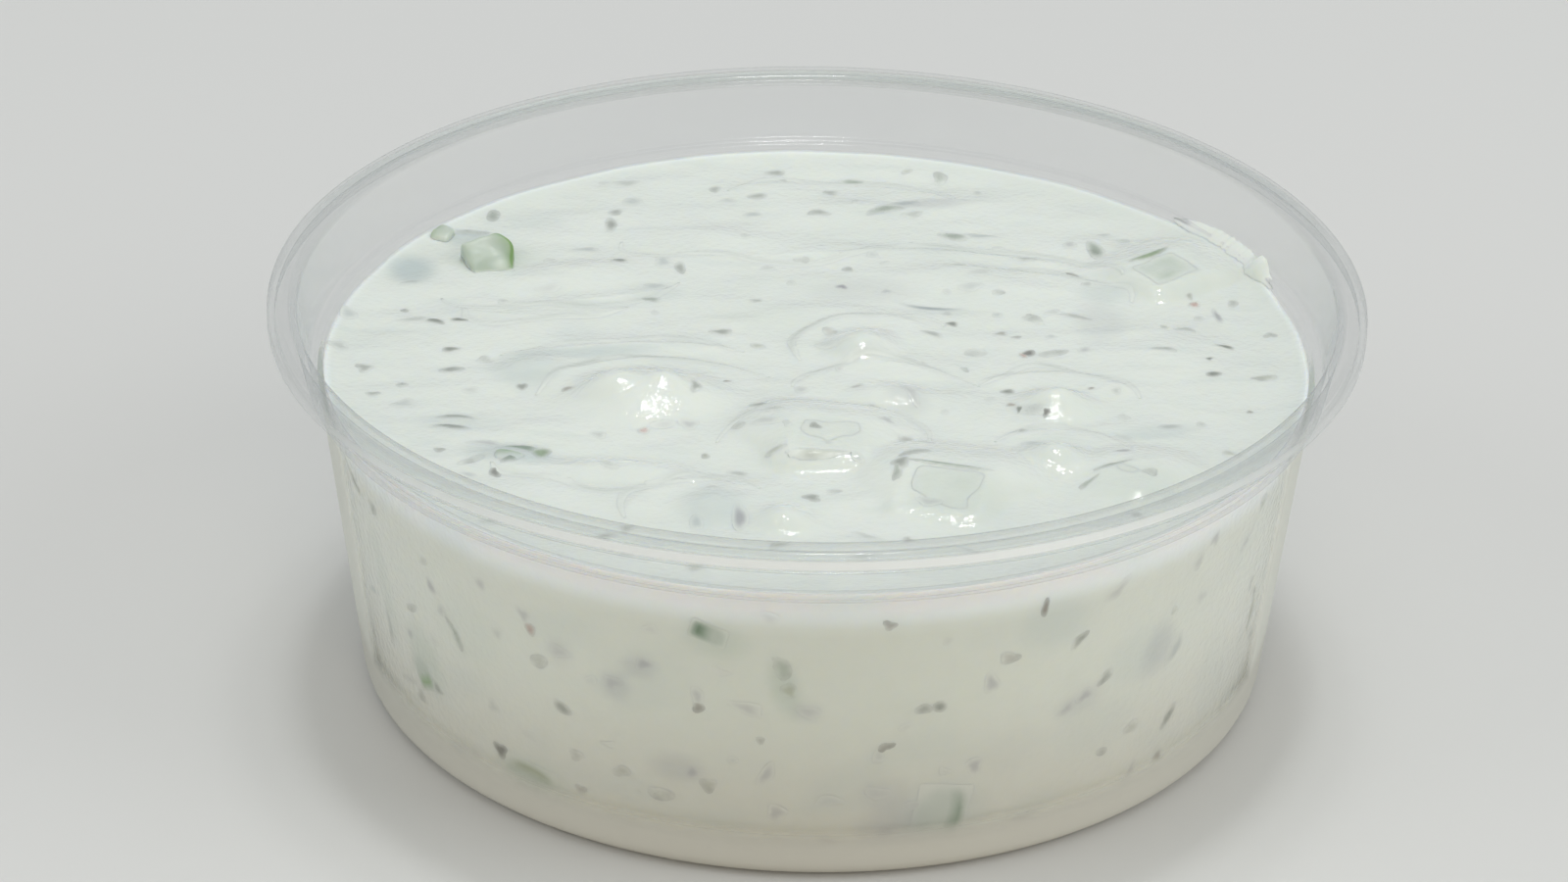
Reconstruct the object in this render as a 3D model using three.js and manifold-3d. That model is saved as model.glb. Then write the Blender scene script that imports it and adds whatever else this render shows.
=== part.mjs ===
// A shallow clear deli cup of tzatziki: thick yogurt dip with chopped cucumber in it.
// Millimetres, +Z up, -Y is the front. The origin is the middle of the ring the cup stands on.

import * as THREE from "three";
import { mergeVertices } from "three/addons/utils/BufferGeometryUtils.js";
import Module from "manifold-3d";

// The cup: a leaning body, a shelf, a collar above it and a lip turned outwards.
const HEIGHT = 43.4;
const RIM_RADIUS = 58.5;
const RIM_INNER_RADIUS = 55.4;
const WALL = 0.7;
const LIP_THICKNESS = 0.8;
const LIP_DROP = 2.35;
const LIP_SHOULDER = 0.45; // radius of the lip's outer top edge
const LIP_BEAD = 0.6; // radius of the bead along the lip's inner edge
const LIP_GROOVE_DEPTH = 0.28;
const SHELF_HEIGHT = 35.7; // underside of the shelf
const SHELF_STEP = 1.3;
const SHELF_ROUND = 0.4; // radius of the shelf's and the lip's small corners
const BODY_TOP_RADIUS = 53.4; // outside, at the shelf
const BODY_LEAN = 0.125; // outward lean for each millimetre of height
const COLLAR_LEAN = 0.21;
const FOOT_ROUND = 2.6; // radius of the corner between the body and the base
const FOOT_RING_WIDTH = 1.8;
const FOOT_RING_BEVEL = 0.8;
const BASE_RECESS = 0.8;
const CUP_SEGMENTS = 60;
const FOOT_STEPS = 4; // straight steps that stand for each kind of rounded corner
const EDGE_STEPS = 3;
const CORNER_STEPS = 2;

// The dip, filled nearly to the shelf. Its top is uneven.
const GAP = 0.3; // between pieces that touch
const DIP_EDGE_HEIGHT = 34.9; // where the dip meets the wall, at either side
const DIP_BACK_RISE = 0.012; // how much higher it is for each millimetre towards the back
const DIP_DOME = 0.6; // how much higher its middle is than its edge
const TOP_RINGS = 19;
const EDGE_CALM = 5; // the width of the even band along the wall

// Rounded lumps and folds of the dip: place of the middle, half length, half width, rise, turn in degrees.
const LUMPS = [
  { x: 5, y: 3, long: 5, wide: 4, rise: 2.2, turn: 15 },
  { x: -18, y: -9.5, long: 11, wide: 7.5, rise: 2.2, turn: 5 },
  { x: 25.5, y: -10, long: 6, wide: 4.5, rise: 1.6, turn: -10 },
  { x: 25, y: -22.5, long: 6, wide: 4.5, rise: 1.3, turn: 0 },
  { x: 8, y: -8.5, long: 6, wide: 4, rise: 0.9, turn: 0 },
  { x: -3, y: -38, long: 5, wide: 4, rise: 1.2, turn: -10 },
  { x: -10, y: -34, long: 6, wide: 5, rise: 0.9, turn: 20 },
  { x: -20, y: -26, long: 10, wide: 3.5, rise: 0.9, turn: -4 },
  { x: -30, y: -3, long: 6, wide: 4.5, rise: 0.8, turn: 10 },
  { x: -28, y: 19, long: 11, wide: 5, rise: 0.8, turn: 8 },
  { x: 16, y: 20, long: 15, wide: 5, rise: 0.7, turn: -6 },
  { x: -12, y: 30, long: 13, wide: 5, rise: 0.5, turn: 4 },
  { x: 38, y: 2, long: 9, wide: 6, rise: 0.6, turn: 30 },
  { x: 1.4, y: -20.3, long: 9, wide: 8, rise: 1.4, turn: 0 },
  { x: 13, y: -30.7, long: 9.5, wide: 8.5, rise: 1.4, turn: -12 },
  { x: 32.2, y: -26.8, long: 6.5, wide: 6, rise: 1, turn: 20 },
  { x: 38.4, y: 21.6, long: 7.5, wide: 7, rise: 1, turn: 34 },
  { x: -36.2, y: 23.6, long: 6, wide: 6, rise: 0.8, turn: 0 },
];

// Chopped cucumber. Each piece is a cut block with one bowed side, where the peel is. Its size is the
// width along the peel, the depth away from it and the length cut off the cucumber.
const PEEL_BOW = 0.16; // how far the peel side bulges, as a share of the width
const CUT_TAPER = 0.84; // width of the side opposite the peel, as a share of the peel side's
const CUT_ROUND = 0.5; // how far the cut edges are softened
const PEEL_STEPS = 5;
const POCKET_OPENING = 1; // how far a pocket in the dip reaches past the piece on its open side
const WELD_DISTANCE = 1e-4; // corners nearer than this are one

// Pieces that come out of the dip's top: the middle of the piece, how far it is turned, and then how far
// its top leans to the front (tip) and to +X (roll), in degrees.
const TOP_PIECES = [
  { name: "cucumber_front", at: [13, -30.5, 33.4], size: [9.8, 9, 6.4], turn: -12, tip: 9, roll: -2 },
  { name: "cucumber_middle", at: [1.4, -20.3, 33.9], size: [8.8, 8, 6], turn: 177, tip: 4, roll: 3 },
  { name: "cucumber_edge", at: [32.2, -26.8, 33.4], size: [6.4, 5.6, 5.2], turn: 75, tip: 6, roll: -5 },
  { name: "cucumber_right", at: [38.4, 21.6, 33.6], size: [7.6, 7, 5.6], turn: 34, tip: 4, roll: -3 },
  { name: "cucumber_back_left", at: [-36.2, 23.6, 33.9], size: [5.6, 5.4, 5], turn: -70, tip: 30, roll: 5 },
];

// Pieces that lie against the wall: degrees round from the front towards +X, the height of the middle,
// and how far the peel is turned from the top of the piece, anticlockwise as seen from outside.
const WALL_PIECES = [
  { name: "cucumber_wall_low_right", around: 16.2, z: 7.2, size: [8.4, 6.2, 5], turn: -100 },
  { name: "cucumber_wall_top", around: -11.6, z: 29.9, size: [3.2, 4.4, 3], turn: 70 },
  { name: "cucumber_wall_low_left", around: -36, z: 6.2, size: [7.6, 4.8, 4], turn: -6 },
  { name: "cucumber_wall_left", around: -54.5, z: 11.8, size: [4.2, 5, 3.6], turn: -155 },
];

const clearPlastic = new THREE.MeshStandardMaterial({
  color: 0xdfe4e2,
  roughness: 0.1,
  metalness: 0,
  transparent: true,
  opacity: 0.35,
});
const yogurt = new THREE.MeshStandardMaterial({ color: 0xe6eadf, roughness: 0.4, metalness: 0 });
const cucumberFlesh = new THREE.MeshStandardMaterial({ color: 0xb9c9a8, roughness: 0.3, metalness: 0 });

const degrees = THREE.MathUtils.degToRad;

// Points along an arc of a profile, with angles in degrees from the outward direction.
function arc(radius, height, round, from, to, steps) {
  const points = [];
  for (let i = 0; i <= steps; i += 1) {
    const angle = degrees(from + ((to - from) * i) / steps);
    points.push(new THREE.Vector2(radius + round * Math.cos(angle), height + round * Math.sin(angle)));
  }
  return points;
}

function bodyRadius(height) {
  return BODY_TOP_RADIUS + BODY_LEAN * (height - SHELF_HEIGHT);
}

function collarRadius(height) {
  return BODY_TOP_RADIUS + SHELF_STEP + COLLAR_LEAN * (height - SHELF_HEIGHT - SHELF_ROUND);
}

// How much further a distance square to a leaning wall reaches when it is measured level.
const BODY_STRETCH = Math.hypot(1, BODY_LEAN);
const COLLAR_STRETCH = Math.hypot(1, COLLAR_LEAN);
const BODY_ANGLE = THREE.MathUtils.radToDeg(Math.atan(BODY_LEAN));
const COLLAR_ANGLE = THREE.MathUtils.radToDeg(Math.atan(COLLAR_LEAN));
const FLOOR_HEIGHT = BASE_RECESS + WALL;

// The radius of the body's inner side, moved inwards by a gap.
function insideRadius(height, gap = 0) {
  return bodyRadius(height) - (WALL + gap) * BODY_STRETCH;
}

// The round corner between the floor and the wall, inside, moved inwards by a gap.
function insideCorner(gap, steps) {
  const round = FOOT_ROUND - WALL - gap;
  const height = FLOOR_HEIGHT + gap + round;
  const radius = insideRadius(height, gap) - round * BODY_STRETCH;
  return arc(radius, height, round, -90, -BODY_ANGLE, steps);
}

// The outer side, from the middle of the base out to the foot and up to the underside of the lip.
function cupOutside() {
  const footRadius = bodyRadius(FOOT_ROUND) - FOOT_ROUND * BODY_STRETCH;
  const ringInner = footRadius - FOOT_RING_WIDTH;
  const underShelf = SHELF_HEIGHT - SHELF_ROUND;
  const overShelf = SHELF_HEIGHT + SHELF_ROUND;
  const underLip = HEIGHT - LIP_THICKNESS - SHELF_ROUND;
  const underShelfRadius = bodyRadius(underShelf) + SHELF_ROUND * BODY_STRETCH;
  const overShelfRadius = collarRadius(overShelf) - SHELF_ROUND * COLLAR_STRETCH;
  const underLipRadius = collarRadius(underLip) + SHELF_ROUND * COLLAR_STRETCH;
  return [
    new THREE.Vector2(0, BASE_RECESS),
    new THREE.Vector2(ringInner - FOOT_RING_BEVEL, BASE_RECESS),
    new THREE.Vector2(ringInner, 0),
    ...arc(footRadius, FOOT_ROUND, FOOT_ROUND, -90, -BODY_ANGLE, FOOT_STEPS),
    ...arc(underShelfRadius, underShelf, SHELF_ROUND, 180 - BODY_ANGLE, 90, CORNER_STEPS),
    ...arc(overShelfRadius, overShelf, SHELF_ROUND, -90, -COLLAR_ANGLE, CORNER_STEPS),
    ...arc(underLipRadius, underLip, SHELF_ROUND, 180 - COLLAR_ANGLE, 90, CORNER_STEPS),
  ];
}

// The lip: its skirt, shoulder, shallow groove and inner bead.
function cupLip() {
  const skirtMiddle = RIM_RADIUS - LIP_THICKNESS / 2;
  const shoulderRadius = RIM_RADIUS - LIP_SHOULDER;
  const beadRadius = RIM_INNER_RADIUS + LIP_BEAD;
  const skirtRound = LIP_THICKNESS / 2;
  return [
    new THREE.Vector2(RIM_RADIUS - LIP_THICKNESS, HEIGHT - LIP_THICKNESS),
    ...arc(skirtMiddle, HEIGHT - LIP_DROP + skirtRound, skirtRound, 180, 360, FOOT_STEPS),
    ...arc(shoulderRadius, HEIGHT - LIP_SHOULDER, LIP_SHOULDER, 0, 90, EDGE_STEPS),
    new THREE.Vector2((shoulderRadius + beadRadius) / 2, HEIGHT - LIP_GROOVE_DEPTH),
    ...arc(beadRadius, HEIGHT - LIP_BEAD, LIP_BEAD, 90, 180, EDGE_STEPS),
  ];
}

// The inner side, from the collar down over the shelf and the wall to the middle of the floor.
function cupInside() {
  const shelfTop = SHELF_HEIGHT + WALL;
  const overShelf = shelfTop + SHELF_ROUND;
  const underShelf = shelfTop - SHELF_ROUND;
  const overShelfRadius = collarRadius(overShelf) - (WALL + SHELF_ROUND) * COLLAR_STRETCH;
  const underShelfRadius = insideRadius(underShelf) + SHELF_ROUND * BODY_STRETCH;
  return [
    ...arc(overShelfRadius, overShelf, SHELF_ROUND, -COLLAR_ANGLE, -90, CORNER_STEPS),
    ...arc(underShelfRadius, underShelf, SHELF_ROUND, 90, 180 - BODY_ANGLE, CORNER_STEPS),
    ...insideCorner(0, EDGE_STEPS).reverse(),
    new THREE.Vector2(0, FLOOR_HEIGHT),
  ];
}

function lathe(profile) {
  return new THREE.LatheGeometry(profile, CUP_SEGMENTS).rotateX(Math.PI / 2);
}

// How high an ellipse-shaped lump stands at a place, in a smooth dome.
function lumpHeight(lump, x, y) {
  const angle = degrees(lump.turn);
  const along = (x - lump.x) * Math.cos(angle) + (y - lump.y) * Math.sin(angle);
  const across = (y - lump.y) * Math.cos(angle) - (x - lump.x) * Math.sin(angle);
  const out = (along / lump.long) ** 2 + (across / lump.wide) ** 2;
  return out < 1 ? lump.rise * (1 - out) ** 2 : 0;
}

// The height of the dip's top. Lumps die away towards the wall.
function dipHeight(x, y) {
  const radius = Math.hypot(x, y);
  const edge = insideRadius(DIP_EDGE_HEIGHT, GAP);
  const calm = THREE.MathUtils.smoothstep(edge - radius, 0, EDGE_CALM);
  const dome = DIP_DOME * (1 - (radius / edge) ** 2);
  const relief = LUMPS.reduce((sum, lump) => sum + lumpHeight(lump, x, y), 0);
  return DIP_EDGE_HEIGHT + DIP_BACK_RISE * y + dome + calm * relief;
}

// The dip without its pockets: turned to fit the cup, then its top raised into lumps.
function dipGeometry() {
  const edge = insideRadius(DIP_EDGE_HEIGHT, GAP);
  const profile = [new THREE.Vector2(0, FLOOR_HEIGHT + GAP), ...insideCorner(GAP, CORNER_STEPS)];
  for (let ring = 0; ring <= TOP_RINGS; ring += 1) {
    profile.push(new THREE.Vector2(edge * (1 - ring / TOP_RINGS), DIP_EDGE_HEIGHT));
  }
  const geometry = lathe(profile);
  const place = geometry.attributes.position;
  for (let i = 0; i < place.count; i += 1) {
    if (Math.abs(place.getZ(i) - DIP_EDGE_HEIGHT) < GAP) {
      place.setZ(i, dipHeight(place.getX(i), place.getY(i)));
    }
  }
  return geometry;
}

// A block of cucumber round its own middle, grown on every side and further on its +Z end.
// The peel faces +Y.
function cucumberGeometry([width, depth, thick], grow, growEnd = grow) {
  const peel = width / 2 + grow;
  const cut = (width * CUT_TAPER) / 2 + grow;
  const half = depth / 2 + grow;
  const bow = width * PEEL_BOW;
  const outline = new THREE.Shape();
  outline.moveTo(-cut, -half);
  outline.lineTo(cut, -half);
  outline.lineTo(peel, half - bow);
  outline.quadraticCurveTo(0, half + bow, -peel, half - bow);
  outline.closePath();
  const length = thick + grow + growEnd;
  const geometry = new THREE.ExtrudeGeometry(outline, {
    depth: length - 2 * CUT_ROUND,
    bevelThickness: CUT_ROUND,
    bevelSize: CUT_ROUND,
    bevelOffset: -CUT_ROUND,
    bevelSegments: CORNER_STEPS,
    curveSegments: PEEL_STEPS,
  });
  return geometry.translate(0, 0, CUT_ROUND - thick / 2 - grow);
}

function placeTopPiece(object, piece) {
  object.position.set(...piece.at);
  object.rotation.set(degrees(piece.tip), degrees(piece.roll), degrees(piece.turn));
}

// Lays the piece against the wall, with a cut end facing out and leaning with the wall.
// The flat end stands back a little, so that its corners keep the gap to the round wall.
function placeWallPiece(object, piece) {
  const around = degrees(piece.around);
  const [width, depth, thick] = piece.size;
  const corner = Math.hypot(width, depth) / 2;
  const radius = Math.sqrt(insideRadius(piece.z, GAP) ** 2 - corner ** 2);
  const alongWall = new THREE.Vector3(Math.cos(around), Math.sin(around), 0);
  const outward = new THREE.Vector3(Math.sin(around), -Math.cos(around), -BODY_LEAN).normalize();
  const upWall = new THREE.Vector3().crossVectors(outward, alongWall);
  object.quaternion.setFromRotationMatrix(new THREE.Matrix4().makeBasis(alongWall, upWall, outward));
  object.rotateZ(degrees(piece.turn));
  object.position.set(radius * Math.sin(around), -radius * Math.cos(around), piece.z);
  object.position.addScaledVector(outward, -thick / 2);
}

// A geometry as vertices that its triangles share, without the thin triangles on the axis.
function welded(geometry) {
  const bare = geometry.clone();
  bare.deleteAttribute("normal");
  bare.deleteAttribute("uv");
  const merged = mergeVertices(bare, WELD_DISTANCE);
  const corners = merged.index.array;
  const kept = [];
  for (let i = 0; i < corners.length; i += 3) {
    const [a, b, c] = corners.slice(i, i + 3);
    if (a !== b && b !== c && c !== a) {
      kept.push(a, b, c);
    }
  }
  merged.setIndex(kept);
  return merged;
}

const wasm = await Module();
wasm.setup();

function toSolid(geometry) {
  const merged = welded(geometry);
  return new wasm.Manifold(
    new wasm.Mesh({
      numProp: 3,
      vertProperties: new Float32Array(merged.attributes.position.array),
      triVerts: new Uint32Array(merged.index.array),
    }),
  );
}

function toGeometry(solid) {
  const mesh = solid.getMesh();
  const geometry = new THREE.BufferGeometry();
  geometry.setAttribute("position", new THREE.BufferAttribute(new Float32Array(mesh.vertProperties), 3));
  geometry.setIndex(new THREE.BufferAttribute(new Uint32Array(mesh.triVerts), 1));
  geometry.computeVertexNormals();
  return geometry;
}

function namedMesh(name, geometry, material) {
  const mesh = new THREE.Mesh(geometry, material);
  mesh.name = name;
  return mesh;
}

function makeCup() {
  return namedMesh("cup", lathe([...cupOutside(), ...cupLip(), ...cupInside()]), clearPlastic);
}

// Places each piece of cucumber and takes the room for it out of the dip.
function makeContents() {
  const contents = [];
  let dip = toSolid(dipGeometry());
  const add = (pieces, place) => {
    for (const piece of pieces) {
      const mesh = namedMesh(piece.name, cucumberGeometry(piece.size, 0), cucumberFlesh);
      place(mesh, piece);
      mesh.updateMatrix();
      contents.push(mesh);
      const pocket = cucumberGeometry(piece.size, GAP, POCKET_OPENING).applyMatrix4(mesh.matrix);
      dip = dip.subtract(toSolid(pocket));
    }
  };
  add(TOP_PIECES, placeTopPiece);
  add(WALL_PIECES, placeWallPiece);
  contents.unshift(namedMesh("dip", toGeometry(dip), yogurt));
  return contents;
}

const cupOfTzatziki = new THREE.Group();
cupOfTzatziki.name = "cup_of_tzatziki";
cupOfTzatziki.add(makeCup(), ...makeContents());

export default cupOfTzatziki;
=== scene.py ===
"""Looks of a clear deli cup of tzatziki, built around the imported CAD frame.

Sizes below are in millimetres and are turned into metres when a mesh is made.
+Z is up out of the cup, -Y is the front, +X is to the right seen from the front.
"""

import math
import random
from functools import cached_property

import bpy
import numpy as np
from mathutils import Matrix, Vector, noise


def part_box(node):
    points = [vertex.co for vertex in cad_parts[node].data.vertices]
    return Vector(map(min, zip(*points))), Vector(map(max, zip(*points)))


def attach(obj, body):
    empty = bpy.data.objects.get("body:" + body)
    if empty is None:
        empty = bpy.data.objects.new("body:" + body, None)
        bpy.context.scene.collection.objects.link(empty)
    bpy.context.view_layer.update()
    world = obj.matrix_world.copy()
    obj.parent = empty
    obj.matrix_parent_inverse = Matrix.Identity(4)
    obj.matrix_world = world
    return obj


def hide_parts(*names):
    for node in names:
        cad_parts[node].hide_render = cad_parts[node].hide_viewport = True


MM = 0.001
SEED = 20

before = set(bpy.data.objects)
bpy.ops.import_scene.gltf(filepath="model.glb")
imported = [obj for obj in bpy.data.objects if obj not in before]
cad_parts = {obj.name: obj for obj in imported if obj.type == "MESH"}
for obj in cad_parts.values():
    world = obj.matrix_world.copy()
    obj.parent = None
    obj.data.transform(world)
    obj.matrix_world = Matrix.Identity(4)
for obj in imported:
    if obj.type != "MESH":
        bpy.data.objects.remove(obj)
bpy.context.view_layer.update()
cup_high = [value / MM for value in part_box("cup")[1]]

# ---------------------------------------------------------------- the cup's sizes, as in the CAD model
HEIGHT = cup_high[2]
RIM_RADIUS = cup_high[0]
RIM_INNER_RADIUS = 55.4
WALL = 0.7
LIP_THICKNESS = 0.8
LIP_DROP = 2.35
LIP_SHOULDER = 0.45
LIP_BEAD = 0.6
LIP_GROOVE_DEPTH = 0.28
SHELF_HEIGHT = 35.7
SHELF_STEP = 1.3
SHELF_ROUND = 0.4
SHELF_EDGE = (-0.15, 0.1)
BODY_TOP_RADIUS = 53.4
BODY_LEAN = 0.125
COLLAR_LEAN = 0.21
FOOT_ROUND = 2.6
FOOT_RING_WIDTH = 1.8
FOOT_RING_BEVEL = 0.8
BASE_RECESS = 0.8
BODY_STRETCH = math.hypot(1, BODY_LEAN)
COLLAR_STRETCH = math.hypot(1, COLLAR_LEAN)
BODY_ANGLE = math.degrees(math.atan(BODY_LEAN))
COLLAR_ANGLE = math.degrees(math.atan(COLLAR_LEAN))
FLOOR_HEIGHT = BASE_RECESS + WALL

CUP_SEGMENTS = 256
ARC_STEPS = 7
HOLD = 0.12  # rings this far from each rounded corner keep its shading off the straight parts

# ---------------------------------------------------------------- the dip
INTO_WALL = 0.1  # the dip reaches this far into the wall, so that no air gap shows
DIP_EDGE_HEIGHT = 34.9
DIP_FRONT_RISE = 0.005  # how much higher the dip stands for each millimetre towards the front
DIP_DOME = 0.3
EDGE_CALM = 5.0
WALL_CREEP = 0.6  # how far the dip climbs the wall
WALL_CREEP_REACH = 1.3
WALL_CREEP_UNEVEN = 0.35
SMEAR_MIDDLE = 30  # degrees round from +X towards +Y, where the dip is smeared up the wall
SMEAR_HALF = 11
SMEAR_CREEP = 1.2  # how many times more it climbs there
DRAPE_ROUND = 1.3  # rounding of the outline of a covered piece
DRAPE_FRONT = 2.0  # how far the yogurt over a piece takes to fall by 1, in front of it
DRAPE_BACK = 4.0
DRAPE_TURN = 3.0  # how far from a piece's middle the front becomes the back
DRAPE_FILM = 0.05
BARE_FROM = (0.3, 2.4)  # how far in from the outline of a piece the yogurt over it thins out
DRAPE_BLEND = 0.3
DRAPE_POWER = 1.6
TOP_CELLS = 232  # squares across the top
SIDE_ROWS = 30
BASE_RINGS = 6

# Lumps of the dip: middle, half length, half width, rise, turn in degrees.
LUMPS = [
    (5, 3, 5.4, 4.4, 1.5, 15),
    (-18, -9.5, 11, 7.5, 2.2, 5),
    (25.5, -10, 6, 4.5, 1.6, -10),
    (25, -22.5, 6, 4.5, 1.3, 0),
    (8, -8.5, 6, 4, 0.9, 0),
    (-3, -36.5, 5, 4, 1.2, -10),
    (-10, -34, 6, 5, 0.9, 20),
    (-20, -26, 10, 3.5, 0.9, -4),
    (-30, -3, 6, 4.5, 0.8, 10),
    (-28, 19, 11, 5, 0.8, 8),
    (16, 20, 15, 5, 0.7, -6),
    (-12, 30, 13, 5, 0.5, 4),
    (38, 2, 9, 6, 0.6, 30),
    (1.4, -20.3, 9, 8, 0.8, 0),
    (13, -30.7, 9.5, 8.5, 0.5, -12),
    (32.2, -26.8, 6.5, 6, 0.5, 20),
    (38.4, 21.6, 7.5, 7, 0.5, 34),
    (-36.2, 23.6, 6, 6, 0.2, 0),
]
# Smaller lumps on those, which make their fronts steep.
SMALL_LUMPS = [
    (-22, -9.4, 4.2, 3.2, 1.0, 10),
    (-15.8, -9.2, 2.8, 2.4, 0.6, 0),
    (25.4, -9.6, 3.4, 2.6, 0.5, 0),
    (25.2, -22.4, 3.2, 2.6, 0.5, 0),
    (-3, -36.9, 3.6, 2.8, 0.35, -10),
    (4.6, 1.4, 3.4, 3.0, 0.4, 12),
    (1.4, -15.4, 8, 3.6, 0.3, 0),
    (-30.5, -24.5, 6, 4.2, 0.5, -14),
]

# Edges where one fold of yogurt lies over another, each along part of an oval: middle, half length,
# half width, turn, from and to in degrees round the oval, and how high the fold stands.
FOLDS = [
    (-17, -9.5, 12.5, 8.5, 5, 25, 170, 0.30),
    (-21, -1, 14, 3.5, 5, 20, 150, 0.16),
    (5.5, 3.6, 7.5, 6.4, 12, 20, 200, 0.26),
    (25.5, -8.5, 8.5, 6, -8, 15, 165, 0.24),
    (25.5, -21.5, 7.5, 5.5, 0, 10, 150, 0.20),
    (7, -7.5, 8.5, 6.2, 0, 15, 175, 0.22),
    (-20, -25, 12, 4, -4, 190, 340, 0.20),
    (-12, -35, 7, 6, 20, 20, 170, 0.18),
    (-28, 18, 12.5, 5.5, 8, 200, 345, 0.20),
    (-30, 12, 9, 3, 2, 180, 350, 0.14),
    (16, 21, 17, 6, -6, 10, 165, 0.20),
    (23, 17, 12, 5, -12, 10, 150, 0.16),
    (1.4, -20, 9.5, 8.4, 0, 5, 180, 0.24),
    (-6, 30, 16, 5, 3, 190, 345, 0.14),
    (2, 41, 12, 4, -3, 10, 170, 0.12),
]
FOLD_REACH = 3.0  # how far a fold slopes away behind its edge
FOLD_CREST = 1.1  # how wide the edge itself is
FOLD_FADE = 25  # degrees over which a fold's edge dies away at each end
FOLD_SHADE = 0.16  # how much painted shade darkens the crease under a fold, for each millimetre of its height
CREASE_WAVER = 2.2
CREASE_WAVES = 4.0
CREASE_STRENGTH = 1.3  # how dark its thin line of painted shade is, for each millimetre of its height
CREASE_LINE_WIDTH = 0.55
CREASE_LINE_STEPS = 48
CREASE_LINE_ACROSS = (-1, -0.9, -0.6, 0, 0.6, 0.9, 1)
CREASE_LINE_RISE = 0.03
CREASE_LINE_OUT = 0.8  # where it runs, as a share of the crest
CREASE_LINE_ENDS = 0.35
CREASE_LINE_FADED = 0.8
CREASE_END_POWER = 1.5
CREASE_WAVER_LAYER = 3.3
CREASE_LINE_MOST = 0.9
CREASE_LINE_PATCHES = (0.6, 1.8)  # how strong it is on average, and how much that varies

# Waves of the surface: size along X, size along Y, height.
WAVES = [(14.0, 7.0, 0.42), (6.5, 3.0, 0.16), (3.2, 1.7, 0.03)]
WAVE_SHIFT = 7.3

# Noise that makes things uneven: its sizes along X and Y, and where in the noise it starts.
CREEP_NOISE = (8, 8, 31.0)
GREEN_NOISE = (11, 7, 50.0)
GREEN_AVERAGE = 0.3
STREAK_NOISE = (9, 2.2, 90.0)
FILM_NOISE = (3.2, 2.2, 17.0)
CREASE_NOISE = (4, 4, 61.0)
# The same with a size along Z.
SIDE_NOISE = (9, 9, 6, 12.0)
FLESH_NOISE = (1.1, 1.1, 1.1, 5.0)

# The smear of yogurt on the shelf, and its one nub that stands up against the collar.
SMEAR_STEPS = 150
SMEAR_SIDES = 20
SMEAR_RADIUS = 52.9
SMEAR_HEIGHT = 36.0
SMEAR_LEAN = 0.8  # the roll slopes down towards the dip
SMEAR_HALF_HEIGHT = 0.34
SMEAR_HALF_WIDTH = 1.15
SMEAR_WAVE = 0.2  # how much its thickness varies, slowly and finely
SMEAR_WAVES = 0.55
SMEAR_WAVE_LAYER = 3.1
SMEAR_FINE = 0.08
SMEAR_FINE_WAVES = 1.7
SMEAR_FINE_LAYER = 9.4
SMEAR_RAGGED = 0.12
SMEAR_RAGS = 1.3
SMEAR_THINNEST = 0.05
SMEAR_END_POWER = 0.6
SMEAR_LIGHTER = 1.03
NUB_AT = 23.5  # degrees
NUB_WIDTH = 1.5
NUB_HEIGHT = 1.15
NUB_OUT = 0.1
NUB_RISE = 0.3

# ---------------------------------------------------------------- colours, in linear light
YOGURT = (0.755, 0.815, 0.775)
# painted shade and warm light: the yogurt against the wall, darker and warmer than the top
YOGURT_SIDE_SHADED = (0.725, 0.765, 0.695)
# painted shade: the yogurt low on the wall is darker
YOGURT_LOW_SHADE = (0.66, 0.67, 0.60)
# painted light: the yogurt under its top edge, lit from above, whiter and cooler
YOGURT_RIM_LIT = (0.90, 0.98, 1.0)
BLUE_GREY = (0.40, 0.50, 0.52)
GREEN_GREY = (0.42, 0.52, 0.43)
VIOLET_GREY = (0.36, 0.38, 0.42)
FLESH = (0.47, 0.56, 0.48)
# painted shade in the creases under folds, and the grey of one tinted place behind the wall
SHADE_AND_CLOUD_GREY = (0.45, 0.50, 0.43)
# painted shade: the dark colour of the thin lines under the edges of folds
CREASE_SHADE_LINE = (0.30, 0.36, 0.31)
COLOURS = {
    "herb": (0.10, 0.12, 0.09),
    "grey": (0.22, 0.25, 0.24),
    "blue": (0.24, 0.30, 0.34),
    "violet": (0.22, 0.22, 0.27),
    "green": (0.10, 0.19, 0.10),
    "leaf": (0.20, 0.34, 0.12),
    "olive": (0.25, 0.27, 0.12),
    "pepper": (0.045, 0.03, 0.02),
    "brown": (0.16, 0.09, 0.05),
    "red": (0.42, 0.10, 0.05),
    "pink": (0.62, 0.28, 0.24),
    "pale": (0.62, 0.68, 0.66),
}
GREEN_PATCHES = 0.07  # how strongly patches and streaks tint the yogurt
BLUE_STREAKS = 0.10
BLUE_PATCHES = 0.10
STREAKS_FROM = (0.25, 0.6)
PATCHES_FROM = (0.1, 0.6)
CLOUD_EDGE = (1.25, 0.35)  # where a tinted place begins and where it is strongest, in its half sizes
# The yogurt behind the wall changes its colour between these heights: painted shade darkens it towards the
# bottom, and painted light brightens it near the floor and under its top edge.
LOW_SHADE_HEIGHTS = (24, 6)
RIM_LIGHT_HEIGHTS = (30.6, 34.0)
PAINTED_LIGHT_NEAR_FLOOR = (6.5, 3.6)
PAINTED_LIGHT_NEAR_FLOOR_BY = 0.25  # painted light, since less light gets there
SIDE_TINT_BELOW = (30, 29)
SIDE_TINT_DEPTH = (-0.6, -0.05)  # the top's colour gives way to the side's this far from the wall

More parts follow.
